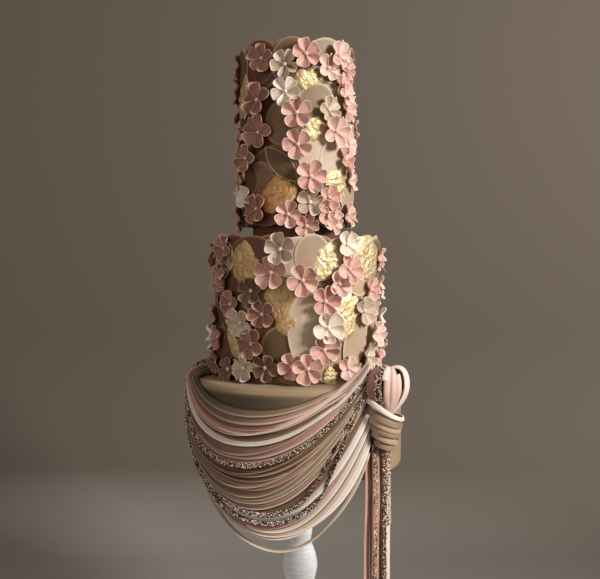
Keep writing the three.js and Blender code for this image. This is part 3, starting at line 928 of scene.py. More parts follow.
@dataclass
class DecoratedTier:
    """An upper tier: a smooth drum, plaques laid all over it, gold leaf, blossoms and beads."""

    name: str
    rows: int                    # rows of plaques under the shown ones
    per_row: int
    crown_count: int
    crown_start: float
    crown_rise: float
    crown_length: float
    crown_tones: tuple[Tone, ...]
    seed: int
    rim: float = 3.0             # mm that its edge is rounded by
    first_level: float = 1.5     # mm from the wall to an extra blossom that lies on no other
    level_step: float = 1.7      # mm that each blossom under it adds
    clear_share: float = 0.68    # share of two blossoms' sizes at which they clear each other
    plaques: list[Plaque] = field(default_factory=list)
    gold: list[LeafPatch] = field(default_factory=list)
    extras: list[Extra] = field(default_factory=list)
    back_count: int = 24

    def __post_init__(self) -> None:
        """Reads the tier's wall from the frame."""
        low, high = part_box(f"{self.name}_tier")
        points = node_points(f"{self.name}_tier")
        reach = np.hypot(points[:, 0] - CAKE_AXIS, points[:, 1])
        self.base = low.z / MM
        self.radius = float(np.median(reach[points[:, 2] < self.base + 0.1]))
        self.top = float(points[reach < self.radius / 2][:, 2].max())
        self.tall = self.top - self.base

    def wall(self) -> Surface:
        """The drum: straight up, over a rounded edge, and level across the top."""
        return turned(drum_profile(self.radius, self.base, self.top, self.rim, (24, 8, 12)), CAKE_AXIS)

    def ground(self, draw: np.random.Generator) -> list[Plaque]:
        """The plaques under the shown ones, in staggered rows, with darker tones drawn on the left as
        painted shade.

        Args:
            draw: the seeded stream for their places, sizes and tones.

        Returns:
            The plaques, without those that would stand over the tier's top.
        """
        tones = [Tone.CHOCOLATE, Tone.CHOCOLATE, Tone.MOCHA, Tone.BRONZE, Tone.SAND, Tone.TAUPE]
        laid = []
        for row in range(self.rows):
            for step in range(self.per_row):
                level = 2 * (row % 2) + step % 2
                height = (row + 0.5) * (self.tall - 4.0) / self.rows
                bearing = (step + 0.5 * (row % 2) + draw.uniform(-0.12, 0.12)) * 360.0 / self.per_row
                # painted shade: the draw leans to darker tones on the left and lighter ones on the right
                lightness = 2.4 + 2.2 * math.sin(math.radians(bearing)) + draw.normal(0.0, 0.9)
                laid.append(Plaque(
                    bearing=bearing, height=height,
                    width=draw.uniform(44, 50), length=draw.uniform(40, 46),
                    tone=tones[int(np.clip(lightness, 0, len(tones) - 1))], turn=draw.uniform(-30, 30),
                    outline=Outline.PETAL if draw.uniform() < 0.6 else Outline.DISC,
                    lift=0.35 + 0.3 * level, curl=0.2))
        return [spec for spec in laid if spec.height + spec.length / 2 < self.tall + 5]

    def crown(self) -> list[Plaque]:
        """The discs that stand up round the rim as a scalloped crown.

        Returns:
            The discs, by turns nearer to the wall and further out.
        """
        width = 2 * np.pi * self.radius / self.crown_count + 7
        middle = self.tall + self.crown_rise - self.crown_length / 2
        return [Plaque(self.crown_start + 360.0 / self.crown_count * at, middle - 1.5 * (at % 2), width,
                       self.crown_length, self.crown_tones[at % len(self.crown_tones)], Outline.DISC,
                       lift=1.5 + 0.45 * (at % 2), curl=0.9)
                for at in range(self.crown_count)]

    def read_blossoms(self) -> list[Seated]:
        """The frame's blossoms, with places and sizes measured on their nodes.

        Returns:
            The blossoms, in the order of their nodes' names.
        """
        found = []
        for node in sorted(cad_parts):
            if node.startswith(f"{self.name}_blossom_"):
                points = node_points(node) - (CAKE_AXIS, 0.0, 0.0)
                middle = points.mean(axis=0)
                bearing = math.degrees(math.atan2(middle[0], -middle[1]))
                way = np.array([math.sin(math.radians(bearing)), -math.cos(math.radians(bearing)), 0.0])
                seat = float((points @ way).min())
                flat = points - np.outer(points @ way, way) - (0.0, 0.0, middle[2])
                size = float(np.linalg.norm(flat, axis=1).max()) / 1.03
                found.append(Seated(node, Tone(node.rsplit("_", 1)[1]), bearing, middle[2], seat, size))
        return found

    def filled_back(self, draw: np.random.Generator) -> list[Extra]:
        """Blossoms that fill the hidden side, spread by golden-section steps up the wall.

        Args:
            draw: the seeded stream for their tones and sizes.

        Returns:
            The blossoms.
        """
        tones = [Tone.ROSE, Tone.MAUVE, Tone.BLUSH, Tone.TAUPE, Tone.ROSE, Tone.IVORY, Tone.MOCHA]
        return [Extra(tones[draw.integers(len(tones))], 100.0 + 162.0 * ((0.37 + 0.618034 * at) % 1),
                      9.0 + (self.tall - 20.0) * (at + 0.5) / self.back_count,
                      draw.uniform(10.5, 13.5))
                for at in range(self.back_count)]

    def dress(self, finishes: Finishes) -> None:
        """Lays plaques, gold leaf and blossoms, one piece for each colour.

        Args:
            finishes: the cake's materials.
        """
        draw = np.random.default_rng(self.seed)
        node = f"{self.name}_tier"
        self.wall().piece(f"{self.name}_tier_drum", finishes.paste[Tone.MOCHA], "cocoa_sugar_paste", node)
        cutter = PlaqueCutter()
        cuts = [(spec, cutter.cut(spec, self.radius, self.base, draw))
                for spec in [*self.ground(draw), *self.crown(), *self.plaques]]
        for tone in Tone:
            shown = [skin for spec, skin in cuts if spec.tone is tone]
            if shown:
                Surface.joined(shown).piece(f"{self.name}_plaques_{tone.value}", finishes.paste[tone],
                                            "cocoa_sugar_paste")
        gilder = Gilder()
        Surface.joined([gilder.lay(spec, self.radius, self.base, draw) for spec in self.gold]).piece(
            f"{self.name}_gold_leaf", finishes.gold, "gold_leaf")
        self.plant(finishes, draw)

    def plant(self, finishes: Finishes, draw: np.random.Generator) -> None:
        """Sets the frame's blossoms and the extra ones, and a bead on each heart.

        Args:
            finishes: the cake's materials.
            draw: the seeded stream for the turns and the petals.
        """
        placed = self.read_blossoms()
        for extra in [*self.extras, *self.filled_back(draw)]:
            seat = self.radius + self.first_level + self.clear_level(placed, extra) * self.level_step
            placed.append(Seated("", extra.tone, extra.bearing, self.base + extra.height, seat,
                                 extra.size))
        beads = {Tone.BLUSH: [], Tone.IVORY: []}
        for tone in Tone:
            group = [blossom for blossom in placed if blossom.tone is tone]
            if group:
                blossoms = Blossoms(
                    bearing=np.array([blossom.bearing for blossom in group], dtype=float),
                    height=np.array([blossom.height for blossom in group], dtype=float),
                    seat=np.array([blossom.seat for blossom in group], dtype=float),
                    size=np.array([blossom.size for blossom in group], dtype=float),
                    turn=draw.uniform(0.0, 72.0, len(group)))
                nodes = [blossom.node for blossom in group if blossom.node]
                slot = tone.value if tone.value in ("rose", "blush", "mauve", "ivory", "taupe") else "cocoa"
                blossoms.petals_skin(draw).piece(f"{self.name}_blossoms_{tone.value}", finishes.paste[tone],
                                                 f"{slot}_sugar_paste", *nodes)
                heart = Tone.BLUSH if tone in (Tone.ROSE, Tone.BLUSH, Tone.MAUVE) else Tone.IVORY
                beads[heart].append(blossoms.beads())
        for tone, skins in beads.items():
            Surface.joined(skins).piece(f"{self.name}_{tone.value}_heart_beads", finishes.paste[tone],
                                        f"{tone.value}_sugar_paste")

    def clear_level(self, placed: list[Seated], extra: Extra) -> int:
        """The lowest level where an extra blossom's heart clears its neighbours' petals.

        Args:
            placed: the blossoms that are set already.
            extra: the blossom to set.

        Returns:
            The number of levels below it.
        """
        taken = set()
        for blossom in placed:
            swing = (extra.bearing - blossom.bearing + 180.0) % 360.0 - 180.0
            across = math.radians(swing) * self.radius
            upwards = self.base + extra.height - blossom.height
            if math.hypot(across, upwards) < self.clear_share * (blossom.size + extra.size):
                taken.add(round((blossom.seat - self.radius - self.first_level) / self.level_step))
        return min(level for level in range(8) if level not in taken)


# ------------------------------------------------------------------------------ the swag


@dataclass
class Strip:
    """One flat strip of the swag: where it hangs at its lowest and where it meets the knot.

    Shares run from the uppermost strip, 0, to the lowest strand, 1, and on the way along the swag
    runs from the tier's rim, 0, to the knot, 1.
    """

    tone: Tone
    upper: float
    lower: float
    end: float                   # its middle's share at the knot
    end_width: float             # its share of the gathered width at the knot
    layer: float = 0.0           # mm further out than its neighbours
    turns: float = 0.5           # the way along where it starts to draw towards its end
    begins: float = -LEDGE_RUN   # the way along where it comes out from under its neighbours
    hem: float = 0.2             # share of its width that the rolled hem and its painted highlight take
    left_shade: float = 0.8            # share of painted shade that it takes towards the left
    crystals: bool = False


@dataclass
class Swag:
    """The swag of strips across the bottom tier, from the far left rim to the knot.

    The same named values as the frame's solid give its surface.
    """

    first_rim: float = -62.0
    last_rim: float = -104.0
    end_bearing: float = 30.8
    least_sag: float = 27.5
    added_sag: float = 67.5
    sag_power: float = 0.39
    back: float = 1.2
    thickness: float = 0.9
    lap: float = 2.4
    roll: float = 0.5            # mm that the hem stands up
    gather: float = 5.0
    wall: float = 104.0
    inner_wall: float = 84.5
    reach_on: float = 1.03       # the strips run on a little under the knot
    steps: int = 84
    around: int = 20
    grains: int = 2200           # sugar grains on each crystal strip

    def point(self, share: np.ndarray, along: np.ndarray, reach: np.ndarray) -> np.ndarray:
        """Points of the draped surface.

        The rim bearing falls with share^0.35. The height runs straight from the rim to the knot less
        a sag times 1 - |1 - 2b|^2.1, where b is the way along, bent later for lower strips. Above the
        rim the strips run in across the ledge to the tier above.

        Args:
            share: from the uppermost strip to the lowest.
            along: from the rim, 0, to the knot, 1, and below 0 across the ledge.
            reach: mm out from the wall, or up from the ledge.

        Returns:
            The points, in mm.
        """
        rim = self.first_rim + (self.last_rim - self.first_rim) * share ** 0.35
        inward = np.clip(-along / LEDGE_RUN, 0.0, 1.0)
        forth = np.maximum(along, 0.0)
        bent = forth ** (1.01 + 0.53 * share ** 2.4)
        sag = self.least_sag + self.added_sag * share ** self.sag_power
        end = LEDGE + 18.5 - 33 * share - 52 * share ** 3
        hung = LEDGE + 1 + (end - LEDGE - 1) * forth - sag * (1 - np.abs(1 - 2 * bent) ** 2.1)
        gathered = self.gather * np.minimum(forth, 1.0) ** 4
        over = smooth(np.clip((along + 0.05) / 0.07, 0.0, 1.0))
        ledge_radius = self.wall + 1 + (self.inner_wall - self.wall - 1) * inward
        radius = over * (self.wall + reach + gathered) + (1 - over) * ledge_radius
        height = over * hung + (1 - over) * (LEDGE + reach + 1.0)
        bearing = rim - 13 * inward + (self.end_bearing - rim) * forth
        return wall_points(radius, bearing, height)

    def strips(self) -> list[Strip]:
        """Every strip from the top down, as it is laid in the swag.

        Returns:
            The strips.
        """
        return [
            Strip(Tone.KHAKI, 0.0, 0.0025, 0.10, 0.03, turns=0.8),
            Strip(Tone.DUSTY, 0.002, 0.016, 0.13, 0.03, turns=0.78),
            Strip(Tone.MAUVE, 0.015, 0.036, 0.16, 0.03, turns=0.78),
            Strip(Tone.BLUSH, 0.056, 0.066, 0.012, 0.02, layer=1.5, turns=0.3, hem=0.3),
            Strip(Tone.BLUSH, 0.034, 0.052, 0.19, 0.03, turns=0.8, layer=0.4),
            Strip(Tone.MOCHA, 0.050, 0.088, 0.20, 0.04, turns=0.8, hem=0.1),
            Strip(Tone.CREAM, 0.088, 0.130, 0.22, 0.05, turns=0.8, layer=1.6, left_shade=0.3),
            Strip(Tone.DUSTY, 0.126, 0.262, 0.25, 0.10, turns=0.7, layer=0.2, hem=0.1),
            Strip(Tone.DUSTY, 0.255, 0.300, 0.29, 0.05, turns=0.66, hem=0.14),
            Strip(Tone.SAND, 0.205, 0.218, 0.11, 0.03, layer=1.6, turns=0.45, begins=0.24, hem=0.3),
            Strip(Tone.KHAKI, 0.270, 0.325, 0.31, 0.12, layer=0.8, turns=0.52, begins=0.5, hem=0.1),
            Strip(Tone.CHOCOLATE, 0.300, 0.350, 0.29, 0.07, layer=2.6, turns=0.8, crystals=True),
            Strip(Tone.MOCHA, 0.344, 0.395, 0.40, 0.05, hem=0.1),
            Strip(Tone.BRONZE, 0.390, 0.440, 0.42, 0.05, hem=0.1),
            Strip(Tone.KHAKI, 0.434, 0.458, 0.44, 0.03, layer=0.4, hem=0.4),
            Strip(Tone.MAUVE, 0.420, 0.436, 0.33, 0.03, layer=1.8, turns=0.4, hem=0.3),
            Strip(Tone.CHOCOLATE, 0.456, 0.500, 0.46, 0.04, hem=0.1),
            Strip(Tone.DUSTY, 0.494, 0.512, 0.47, 0.03, layer=0.3, hem=0.4),
            Strip(Tone.MAUVE, 0.508, 0.556, 0.48, 0.05, hem=0.08),
            Strip(Tone.DUSTY, 0.550, 0.600, 0.50, 0.05, hem=0.08),
            Strip(Tone.MOCHA, 0.594, 0.662, 0.52, 0.05, hem=0.08),
            Strip(Tone.SAND, 0.600, 0.616, 0.43, 0.03, layer=1.8, turns=0.35, hem=0.3),
            Strip(Tone.KHAKI, 0.655, 0.676, 0.48, 0.05, layer=1.4, hem=0.3),
            Strip(Tone.KHAKI, 0.674, 0.700, 0.53, 0.06, layer=1.5),
            Strip(Tone.SAND, 0.698, 0.724, 0.58, 0.05, layer=1.2),
            Strip(Tone.MAUVE, 0.720, 0.745, 0.60, 0.05),
            Strip(Tone.DUSTY, 0.742, 0.772, 0.63, 0.05, layer=0.4),
            Strip(Tone.MOCHA, 0.745, 0.790, 0.70, 0.08, turns=0.66, hem=0.08),
            Strip(Tone.CHOCOLATE, 0.770, 0.797, 0.46, 0.06, layer=2.4, turns=0.76, crystals=True),
            Strip(Tone.CREAM, 0.796, 0.812, 0.77, 0.08, layer=1.2, turns=0.66, hem=0.3),
            Strip(Tone.CHOCOLATE, 0.60, 0.66, 0.62, 0.2, begins=0.84, hem=0.06),
            Strip(Tone.CHOCOLATE, 0.830, 0.852, 0.50, 0.06, layer=3.0, turns=0.82, crystals=True),
            Strip(Tone.DUSTY, 0.866, 0.892, 0.83, 0.05, hem=0.1, left_shade=0.8),
            Strip(Tone.KHAKI, 0.888, 0.916, 0.90, 0.05, left_shade=0.7),
            Strip(Tone.CREAM, 0.884, 0.904, 0.86, 0.05, layer=1.2, turns=0.7, begins=0.58, hem=0.3),
            Strip(Tone.BLUSH, 0.914, 0.928, 0.94, 0.05, layer=0.5, turns=0.7, hem=0.3),
            Strip(Tone.CREAM, 0.930, 0.944, 0.98, 0.06, layer=0.4, turns=0.8, hem=0.3),
            Strip(Tone.TAUPE, 0.998, 1.007, 1.04, 0.03, left_shade=0.3, layer=0.3, turns=0.86, hem=0.3),
        ]

    def share_at(self, strip: Strip, across: np.ndarray, along: np.ndarray) -> np.ndarray:
        """The share at a place across a strip: even across its sag, then drawn in to its end.

        Args:
            strip: the strip.
            across: from its upper edge, 0, to its lower edge, 1.
            along: the way along the swag.

        Returns:
            The share of the draped surface there.
        """
        towards = smooth((along - strip.turns) / (self.reach_on - strip.turns))
        upper, lower = strip.upper ** self.sag_power, strip.lower ** self.sag_power
        end = np.maximum(strip.end + strip.end_width * (across - 0.5), 0.0) ** self.sag_power
        hung = (upper + (lower - upper) * across) * (1 - towards) + end * towards
        return np.maximum(hung, 0.0) ** (1 / self.sag_power)

    def reach(self, strip: Strip, across: np.ndarray, along: np.ndarray) -> np.ndarray:
        """How far a strip's face stands out: from its tucked edge to its rolled lower hem.

        Args:
            strip: the strip.
            across: from its upper edge, 0, to its lower edge, 1.
            along: the way along the swag.

        Returns:
            The distance from the wall, in mm.
        """
        hem = self.roll * smooth((across - 1 + 1.4 * strip.hem) / (0.6 * strip.hem))
        drift = 0.4 * np.sin(9.0 * along + 140.0 * strip.upper)
        out = strip.layer + self.thickness + self.lap * across + hem + drift
        return self.back + out * smooth((along - strip.begins + 0.03) / 0.08)

    def skin(self, strip: Strip) -> Surface:
        """One strip's closed skin: tucked in at its upper edge, proud at its lower one, with a painted
        highlight there.

        Args:
            strip: the strip.

        Returns:
            The skin, with a painted highlight on its hem and towards the knot, painted shade towards the
            left, and a painted shadow on its tucked upper part.
        """
        ring_across, ring_out = squircle(self.around, flat=0.75, round_off=0.55)
        along = np.concatenate([np.linspace(-LEDGE_RUN, 0.0, 9)[:-1],
                                np.linspace(0.0, self.reach_on, self.steps)])
        along = along[along >= strip.begins][:, None]
        across = (0.5 + 0.5 * ring_across)[None, :]
        reach = self.reach(strip, across, along) + self.thickness / 2 * (ring_out[None, :] - 1)
        rings = self.point(self.share_at(strip, across, along), along, reach)
        front = (ring_out[None, :] > -0.3) * np.ones_like(along)
        # painted light: the strips lighten along the way to the knot, on the lit right
        lit = 0.3 * smooth((along - 0.6) / 0.4)
        # painted shade: the strips darken towards the left
        left_shade = strip.left_shade * smooth((0.86 - along) / 0.72)
        # painted highlight on the lower hem, weakened where the painted shade on the left lies
        edge = np.maximum(smooth((across - 1 + 1.3 * strip.hem) / (0.5 * strip.hem)), lit) * front
        edge = edge * (1.0 - 0.9 * left_shade)
        # painted shadow on the tucked upper part under the strip above, joined with the painted shade on
        # the left
        deep = np.maximum(0.95 * smooth((0.34 - across) / 0.3), left_shade)
        tone = np.full_like(edge, (strip.upper * 37.3) % 1.0)
        return Surface.rings(rings, {"edge": 0.85 * edge, "deep": deep, "tone": tone})

    def crystal_places(self, strip: Strip, draw: np.random.Generator) -> np.ndarray:
        """Places for grains spread over a strip's front face.

        Args:
            strip: the strip.
            draw: the seeded stream.

        Returns:
            The places, in mm.
        """
        along = draw.uniform(max(strip.begins, -0.1), self.reach_on, self.grains)
        across = draw.uniform(0.08, 0.96, self.grains)
        return self.point(self.share_at(strip, across, along), along, self.reach(strip, across, along))

    def build(self, finishes: Finishes, draw: np.random.Generator) -> np.ndarray:
        """Drapes the swag, one piece for each colour.

        Args:
            finishes: the cake's materials.
            draw: the seeded stream.

        Returns:
            Places for sugar grains on its crystal strips.
        """
        strips = self.strips()
        by_tone: dict[Tone, list[Surface]] = {}
        for strip in strips:
            by_tone.setdefault(strip.tone, []).append(self.skin(strip))
        for tone, parts in by_tone.items():
            replaced = ("swag",) if tone is Tone.DUSTY else ()
            Surface.joined(parts).piece(f"swag_strips_{tone.value}", finishes.paste[tone],
                                        "strip_sugar_paste", *replaced)
        return np.concatenate([self.crystal_places(strip, draw) for strip in strips if strip.crystals])


def crystals(places: np.ndarray, draw: np.random.Generator, least: float = 0.45,
             most: float = 0.95) -> Surface:
    """Sugar grains: eight-sided stones, each stretched and turned its own way.

    Args:
        places: the middle of each grain, in mm.
        draw: the seeded stream.
        least: smallest half size.
        most: largest half size.

    Returns:
        All the grains, with one number each for its colour.
    """
    count = len(places)
    corners = np.array([[1, 0, 0], [0, 1, 0], [-1, 0, 0], [0, -1, 0], [0, 0, 1], [0, 0, -1]], float)
    faces = np.array([[0, 1, 4], [1, 2, 4], [2, 3, 4], [3, 0, 4],
                      [1, 0, 5], [2, 1, 5], [3, 2, 5], [0, 3, 5]])
    turns, _ = np.linalg.qr(draw.normal(size=(count, 3, 3)))
    turns = turns * np.sign(np.linalg.det(turns))[:, None, None]
    size = draw.uniform(least, most, (count, 1, 1)) * draw.uniform(0.7, 1.15, (count, 1, 3))
    points = np.einsum("nij,nkj->nki", turns, corners[None] * size) + places[:, None]
    every = (faces[None] + 6 * np.arange(count)[:, None, None]).reshape(-1, 3)
    tone = np.repeat(draw.uniform(0.0, 1.0, count), 6)
    return Surface(points.reshape(-1, 3), every, {"tone": tone})


# ------------------------------------------------------------------------------ the knot


@dataclass
class KnotBand:
    """A strip of the knot: its tone, where it goes, how wide and thick it is, and how far out."""

    tone: Tone
    place: float                 # degrees round the loop, or mm up the waist at its right
    width: float
    swell: float = 1.0
    thickness: float = 1.2
    spread: float = 1.0          # how much further aside a strip of the loop bulges
    rise: float = 8.0            # mm that a band of the waist climbs to its left
    first: float = -66.0         # degrees of climb where a strip of the loop starts
    last: float = 112.0          # and where it ends
    crystals: bool = False


@dataclass
class Knot:
    """The tied knot: a loop of strips that stand up and turn over, bound by bands round its waist."""

    bearing: float = 41.5
    facing: float = 24.0
    radius: float = 119.5
    height: float = 300.0
    loop_middle: float = 15.0
    loop_wide: float = 17.5
    loop_tall: float = 22.0
    loop_deep: float = 11.0
    waist_wide: float = 14.0
    waist_deep: float = 10.5
    forward: float = 1.2         # mm that the loop and the waist stand before its middle
    widest: float = 17.0         # degrees of climb where the loop swings out most
    steps: int = 60
    around: int = 14
    grains: int = 420            # sugar grains on its crystal strip
    grain_lift: float = 1.4      # mm from that strip's middle to the grains

    def placed(self, points: np.ndarray) -> np.ndarray:
        """Points given across, up and out from the knot's middle, set on the cake.

        Args:
            points: across, up and out along the last axis, in mm.

        Returns:
            The points, with x, y and z along the last axis.
        """
        middle = wall_points(self.radius, self.bearing, self.height)
        turn = math.radians(self.facing)
        right = np.array([math.cos(turn), math.sin(turn), 0.0])
        out = np.array([math.sin(turn), -math.cos(turn), 0.0])
        up = np.array([0.0, 0.0, 1.0])
        return middle + points[..., :1] * right + points[..., 1:2] * up + points[..., 2:] * out

    def band(self, path: np.ndarray, normal: np.ndarray, width: np.ndarray, thickness: float,
             loop: bool = False) -> Surface:
        """A flat strip carried along a path, wide across it and thin along its normal.

        Args:
            path: points across, up and out, one a step.
            normal: the way that the strip's face looks at each step.
            width: its width at each step, in mm.
            thickness: its thickness in mm.
            loop: whether it closes on itself.

        Returns:
            The closed skin, with a painted highlight along its edges.
        """
        if loop:
            ahead = np.roll(path, -1, axis=0) - np.roll(path, 1, axis=0)
        else:
            ahead = np.gradient(path, axis=0)
        side = unit(np.cross(unit(ahead), normal))
        face = unit(np.cross(side, unit(ahead)))
        face = face * np.sign(np.sum(face * normal, axis=-1, keepdims=True))
        ring_across, ring_out = squircle(self.around, flat=0.7, round_off=0.6)
        crown = 0.05 * (1 - ring_across ** 2)[None, :, None] * width[:, None, None]
        rings = (path[:, None] + side[:, None] * ring_across[None, :, None] * width[:, None, None] / 2
                 + face[:, None] * (ring_out[None, :, None] * thickness / 2 + crown))
        return Surface.rings(self.placed(rings), light_edges(ring_across, len(path), 0.7), loop)

    def swing(self, climb: np.ndarray) -> np.ndarray:
        """How far the loop swings out at a climb: widest a little above its middle, narrow below."""
        from_widest = climb - math.radians(self.widest)
        return np.maximum(np.cos(from_widest), 0.0) ** np.where(from_widest < 0, 1.5, 0.8)

    def loop_path(self, band: KnotBand) -> tuple[np.ndarray, np.ndarray, np.ndarray]:
        """A strip of the loop: up the front at its own angle, over the top and down behind.

        It lies on a teardrop: across and out go with the loop's swing, up with the climb's sine.

        Args:
            band: the strip.

        Returns:
            The path across, up and out, the way the strip's face looks, and its width at each step.
        """
        climb = np.radians(np.linspace(band.first, band.last, self.steps))
        angle = np.radians(band.place)
        swing = band.swell * self.swing(climb)
        path = np.stack([self.loop_wide * band.spread * swing * np.cos(angle) + 2.4 * (1 - np.cos(climb)),
                         self.loop_middle + self.loop_tall * band.swell * np.sin(climb),
                         self.forward + self.loop_deep * swing * np.sin(angle)], axis=-1)
        normal = unit(np.stack([swing * np.cos(angle) / self.loop_wide,
                                np.sin(climb) / self.loop_tall,
                                swing * np.sin(angle) / self.loop_deep], axis=-1))
        width = band.width * (0.5 + 0.5 * np.cos(climb - math.radians(self.widest)))
        return path, normal, np.maximum(width, 0.35 * band.width)

    def waist_path(self, band: KnotBand) -> tuple[np.ndarray, np.ndarray, np.ndarray]:
        """A band of the waist: once round, climbing to its left and lapped over the band below.

        Args:
            band: the band.

        Returns:
            The path across, up and out, the way the band's face looks, and its width at each step.
        """
        angle = np.linspace(0.0, 2 * np.pi, self.steps, endpoint=False)
        narrow = 1.0 - 0.32 * smooth(np.array((-band.place - 8.0) / 26.0))
        wide, deep = self.waist_wide * band.swell * narrow, self.waist_deep * band.swell * narrow
        front = np.maximum(np.sin(angle), 0.0)
        left = 0.5 - 0.5 * np.cos(angle)
        path = np.stack([wide * np.cos(angle) - 2.0, band.place + band.rise * left ** 1.6 - 2.0 * front,
                         self.forward + deep * np.sin(angle)], axis=-1)
        normal = unit(np.stack([np.cos(angle) / wide, np.full_like(angle, 0.22 / deep),
                                np.sin(angle) / deep], axis=-1))
        return path, normal, band.width * (0.7 + 0.3 * left)

    def build(self, finishes: Finishes, draw: np.random.Generator) -> np.ndarray:
        """Ties the knot, one piece for each colour.

        Args:
            finishes: the cake's materials.
            draw: the seeded stream.

        Returns:
            Places for sugar grains on its crystal strip.
        """
        loop = [
            KnotBand(Tone.MOCHA, 172, 8, 1.04), KnotBand(Tone.MAUVE, 150, 9, 1.05, 1.4, 1.18),
            KnotBand(Tone.CHOCOLATE, 131, 6.5, 1.07, 1.4, 1.2, crystals=True),
            KnotBand(Tone.CREAM, 117, 6, 1.06, 1.2, 1.1, first=34),
            KnotBand(Tone.BLUSH, 112, 6, 1.0, 2.6), KnotBand(Tone.DUSTY, 101, 5, 0.97, 2.4),
            KnotBand(Tone.BLUSH, 91, 5.5, 1.0, 2.6), KnotBand(Tone.DUSTY, 82, 4, 0.95, 2.0),
            KnotBand(Tone.BLUSH, 73, 6, 0.98, 2.4, 1.05, last=50),
            KnotBand(Tone.DUSTY, 62, 4, 0.94, 1.6, 1.1, last=8),
            KnotBand(Tone.CREAM, 66, 3, 0.9, 1.0, 1.25, first=-20, last=60),
            KnotBand(Tone.CREAM, 52, 8, 1.05, 1.4, 1.32), KnotBand(Tone.BLUSH, 34, 7, 1.0, 1.2, 1.02),
            KnotBand(Tone.CREAM, 6, 7, 1.04), KnotBand(Tone.BLUSH, -18, 7, 1.04),
            KnotBand(Tone.DUSTY, -42, 9, 1.0), KnotBand(Tone.MOCHA, -72, 9, 1.0),
            KnotBand(Tone.KHAKI, -102, 9, 1.0), KnotBand(Tone.MAUVE, -132, 9, 1.0),
            KnotBand(Tone.DUSTY, -158, 9, 1.0),
        ]
        waist = [
            KnotBand(Tone.CREAM, -7, 5, 1.24, 1.4, rise=17), KnotBand(Tone.KHAKI, -12, 8, 1.14, rise=13),
            KnotBand(Tone.SAND, -16.5, 7, 1.1, rise=10), KnotBand(Tone.KHAKI, -20.5, 7.5, 1.12, rise=9),
            KnotBand(Tone.SAND, -26, 8, 1.06, rise=8), KnotBand(Tone.KHAKI, -31.5, 7, 0.94, rise=5),
        ]
        skins: dict[Tone, list[Surface]] = {}
        grains = []
        for band in loop:
            path, normal, width = self.loop_path(band)
            skins.setdefault(band.tone, []).append(self.band(path, normal, width, band.thickness))
            if band.crystals:
                at = draw.integers(4, self.steps - 6, self.grains)
                side = unit(np.cross(unit(np.gradient(path, axis=0)), normal))
                aside = draw.uniform(-0.48, 0.48, (self.grains, 1)) * width[at][:, None]
                grains.append(self.placed(path[at] + side[at] * aside + normal[at] * self.grain_lift))
        for band in waist:
            skins.setdefault(band.tone, []).append(
                self.band(*self.waist_path(band), band.thickness, loop=True))
        core = self.core()
        # painted shade: the dark core shows where the loop's strips part
        core.piece("knot_core", finishes.paste[Tone.CHOCOLATE], "strip_sugar_paste", "knot")
        for tone, parts in skins.items():
            Surface.joined(parts).piece(f"knot_strips_{tone.value}", finishes.paste[tone],
                                        "strip_sugar_paste")
        return np.concatenate(grains)

    def core(self) -> Surface:
        """The body inside, dark chocolate as painted shade that shows between the loop's strips; it fills
        the waist.

        Returns:
            The closed skin: rings that take the wider of the loop's swing and the waist.
        """
        height = np.linspace(-36.0, 34.0, 40)[:, None]
        angle = np.linspace(0.0, 2 * np.pi, 40, endpoint=False)[None, :]
        loop = self.swing(np.arcsin(np.clip((height - self.loop_middle) / (self.loop_tall * 0.88), -1, 1)))
        waist = 0.7 * smooth((height + 42.0) / 18.0) * smooth((2.0 - height) / 10.0)
        reach = np.maximum(loop * 0.84, waist)
        out = self.forward + self.loop_deep * reach * np.sin(angle)
        rings = np.stack(np.broadcast_arrays(self.loop_wide * reach * np.cos(angle), height, out),
                         axis=-1)
        return Surface.rings(self.placed(rings))


# ----------------------------------------------------------------------------- the tails


@dataclass
class Tail:
    """One tail: the frame's node that it stands for, its tone and whether crystals cover it."""

    node: str
    tone: Tone
    crystals: bool = False
    width: float = 6.2
    thickness: float = 1.6
    tucked: float = 12.0         # mm that it runs on up into the knot
    grains_per_mm: float = 3.6

    def build(self, finishes: Finishes) -> np.ndarray:
        """Hangs the strip inside its node: flat across the node's wide way, waved a little along.

        Args:
            finishes: the cake's materials.

        Returns:
            For the sugar grains, a line down the middle of its face and its way across, one pair a
            step.
        """
        points = node_points(self.node)
        levels = np.unique(np.round(points[:, 2], 1))
        middles = np.array([points[np.abs(points[:, 2] - level) < 0.3].mean(axis=0) for level in levels])
        flat = points[:, :2] - points[:, :2].mean(axis=0)
        _, _, ways = np.linalg.svd(flat, full_matrices=False)
        way = np.array([*ways[0], 0.0])
        way = way * np.sign(way[0])
        height = np.linspace(levels[0], levels[-1] + self.tucked, 60)
        line = np.stack([np.interp(height, levels, middles[:, axis]) for axis in range(2)] + [height], -1)
        out = np.array([way[1], -way[0], 0.0])
        ring_across, ring_out = squircle(14, flat=0.6, round_off=0.6)
        wave = 0.5 * np.sin(height / 23.0 + len(self.tone.value))[:, None, None] * out
        crown = 0.35 * (1 - ring_across ** 2)
        rings = (line[:, None] + wave + way * ring_across[None, :, None] * self.width / 2
                 + out * (ring_out * self.thickness / 2 + crown)[None, :, None])
        # painted highlight along the tail's two long edges
        skin = Surface.rings(rings, light_edges(ring_across, len(height), 0.6))
        skin.piece(f"{self.node}_{self.tone.value}", finishes.paste[self.tone], "strip_sugar_paste",
                   self.node)
        return np.stack([line + out * (self.thickness / 2 + 0.5), np.broadcast_to(way, line.shape)], axis=1)

    def grains(self, line: np.ndarray, draw: np.random.Generator) -> np.ndarray:
        """Places for grains over the strip's front: along its middle line and aside by its width.

        Args:
            line: the line and the way across that build gives.
            draw: the seeded stream.

        Returns:
            The places, in mm.
        """
        count = int(np.ptp(line[:, 0, 2]) * self.grains_per_mm)
        at = draw.uniform(0, len(line) - 1.001, count)
        low = at.astype(int)
        part = (at - low)[:, None]
        middle = line[low, 0] * (1 - part) + line[low + 1, 0] * part
        return middle + line[low, 1] * draw.uniform(-0.4, 0.4, (count, 1)) * self.width


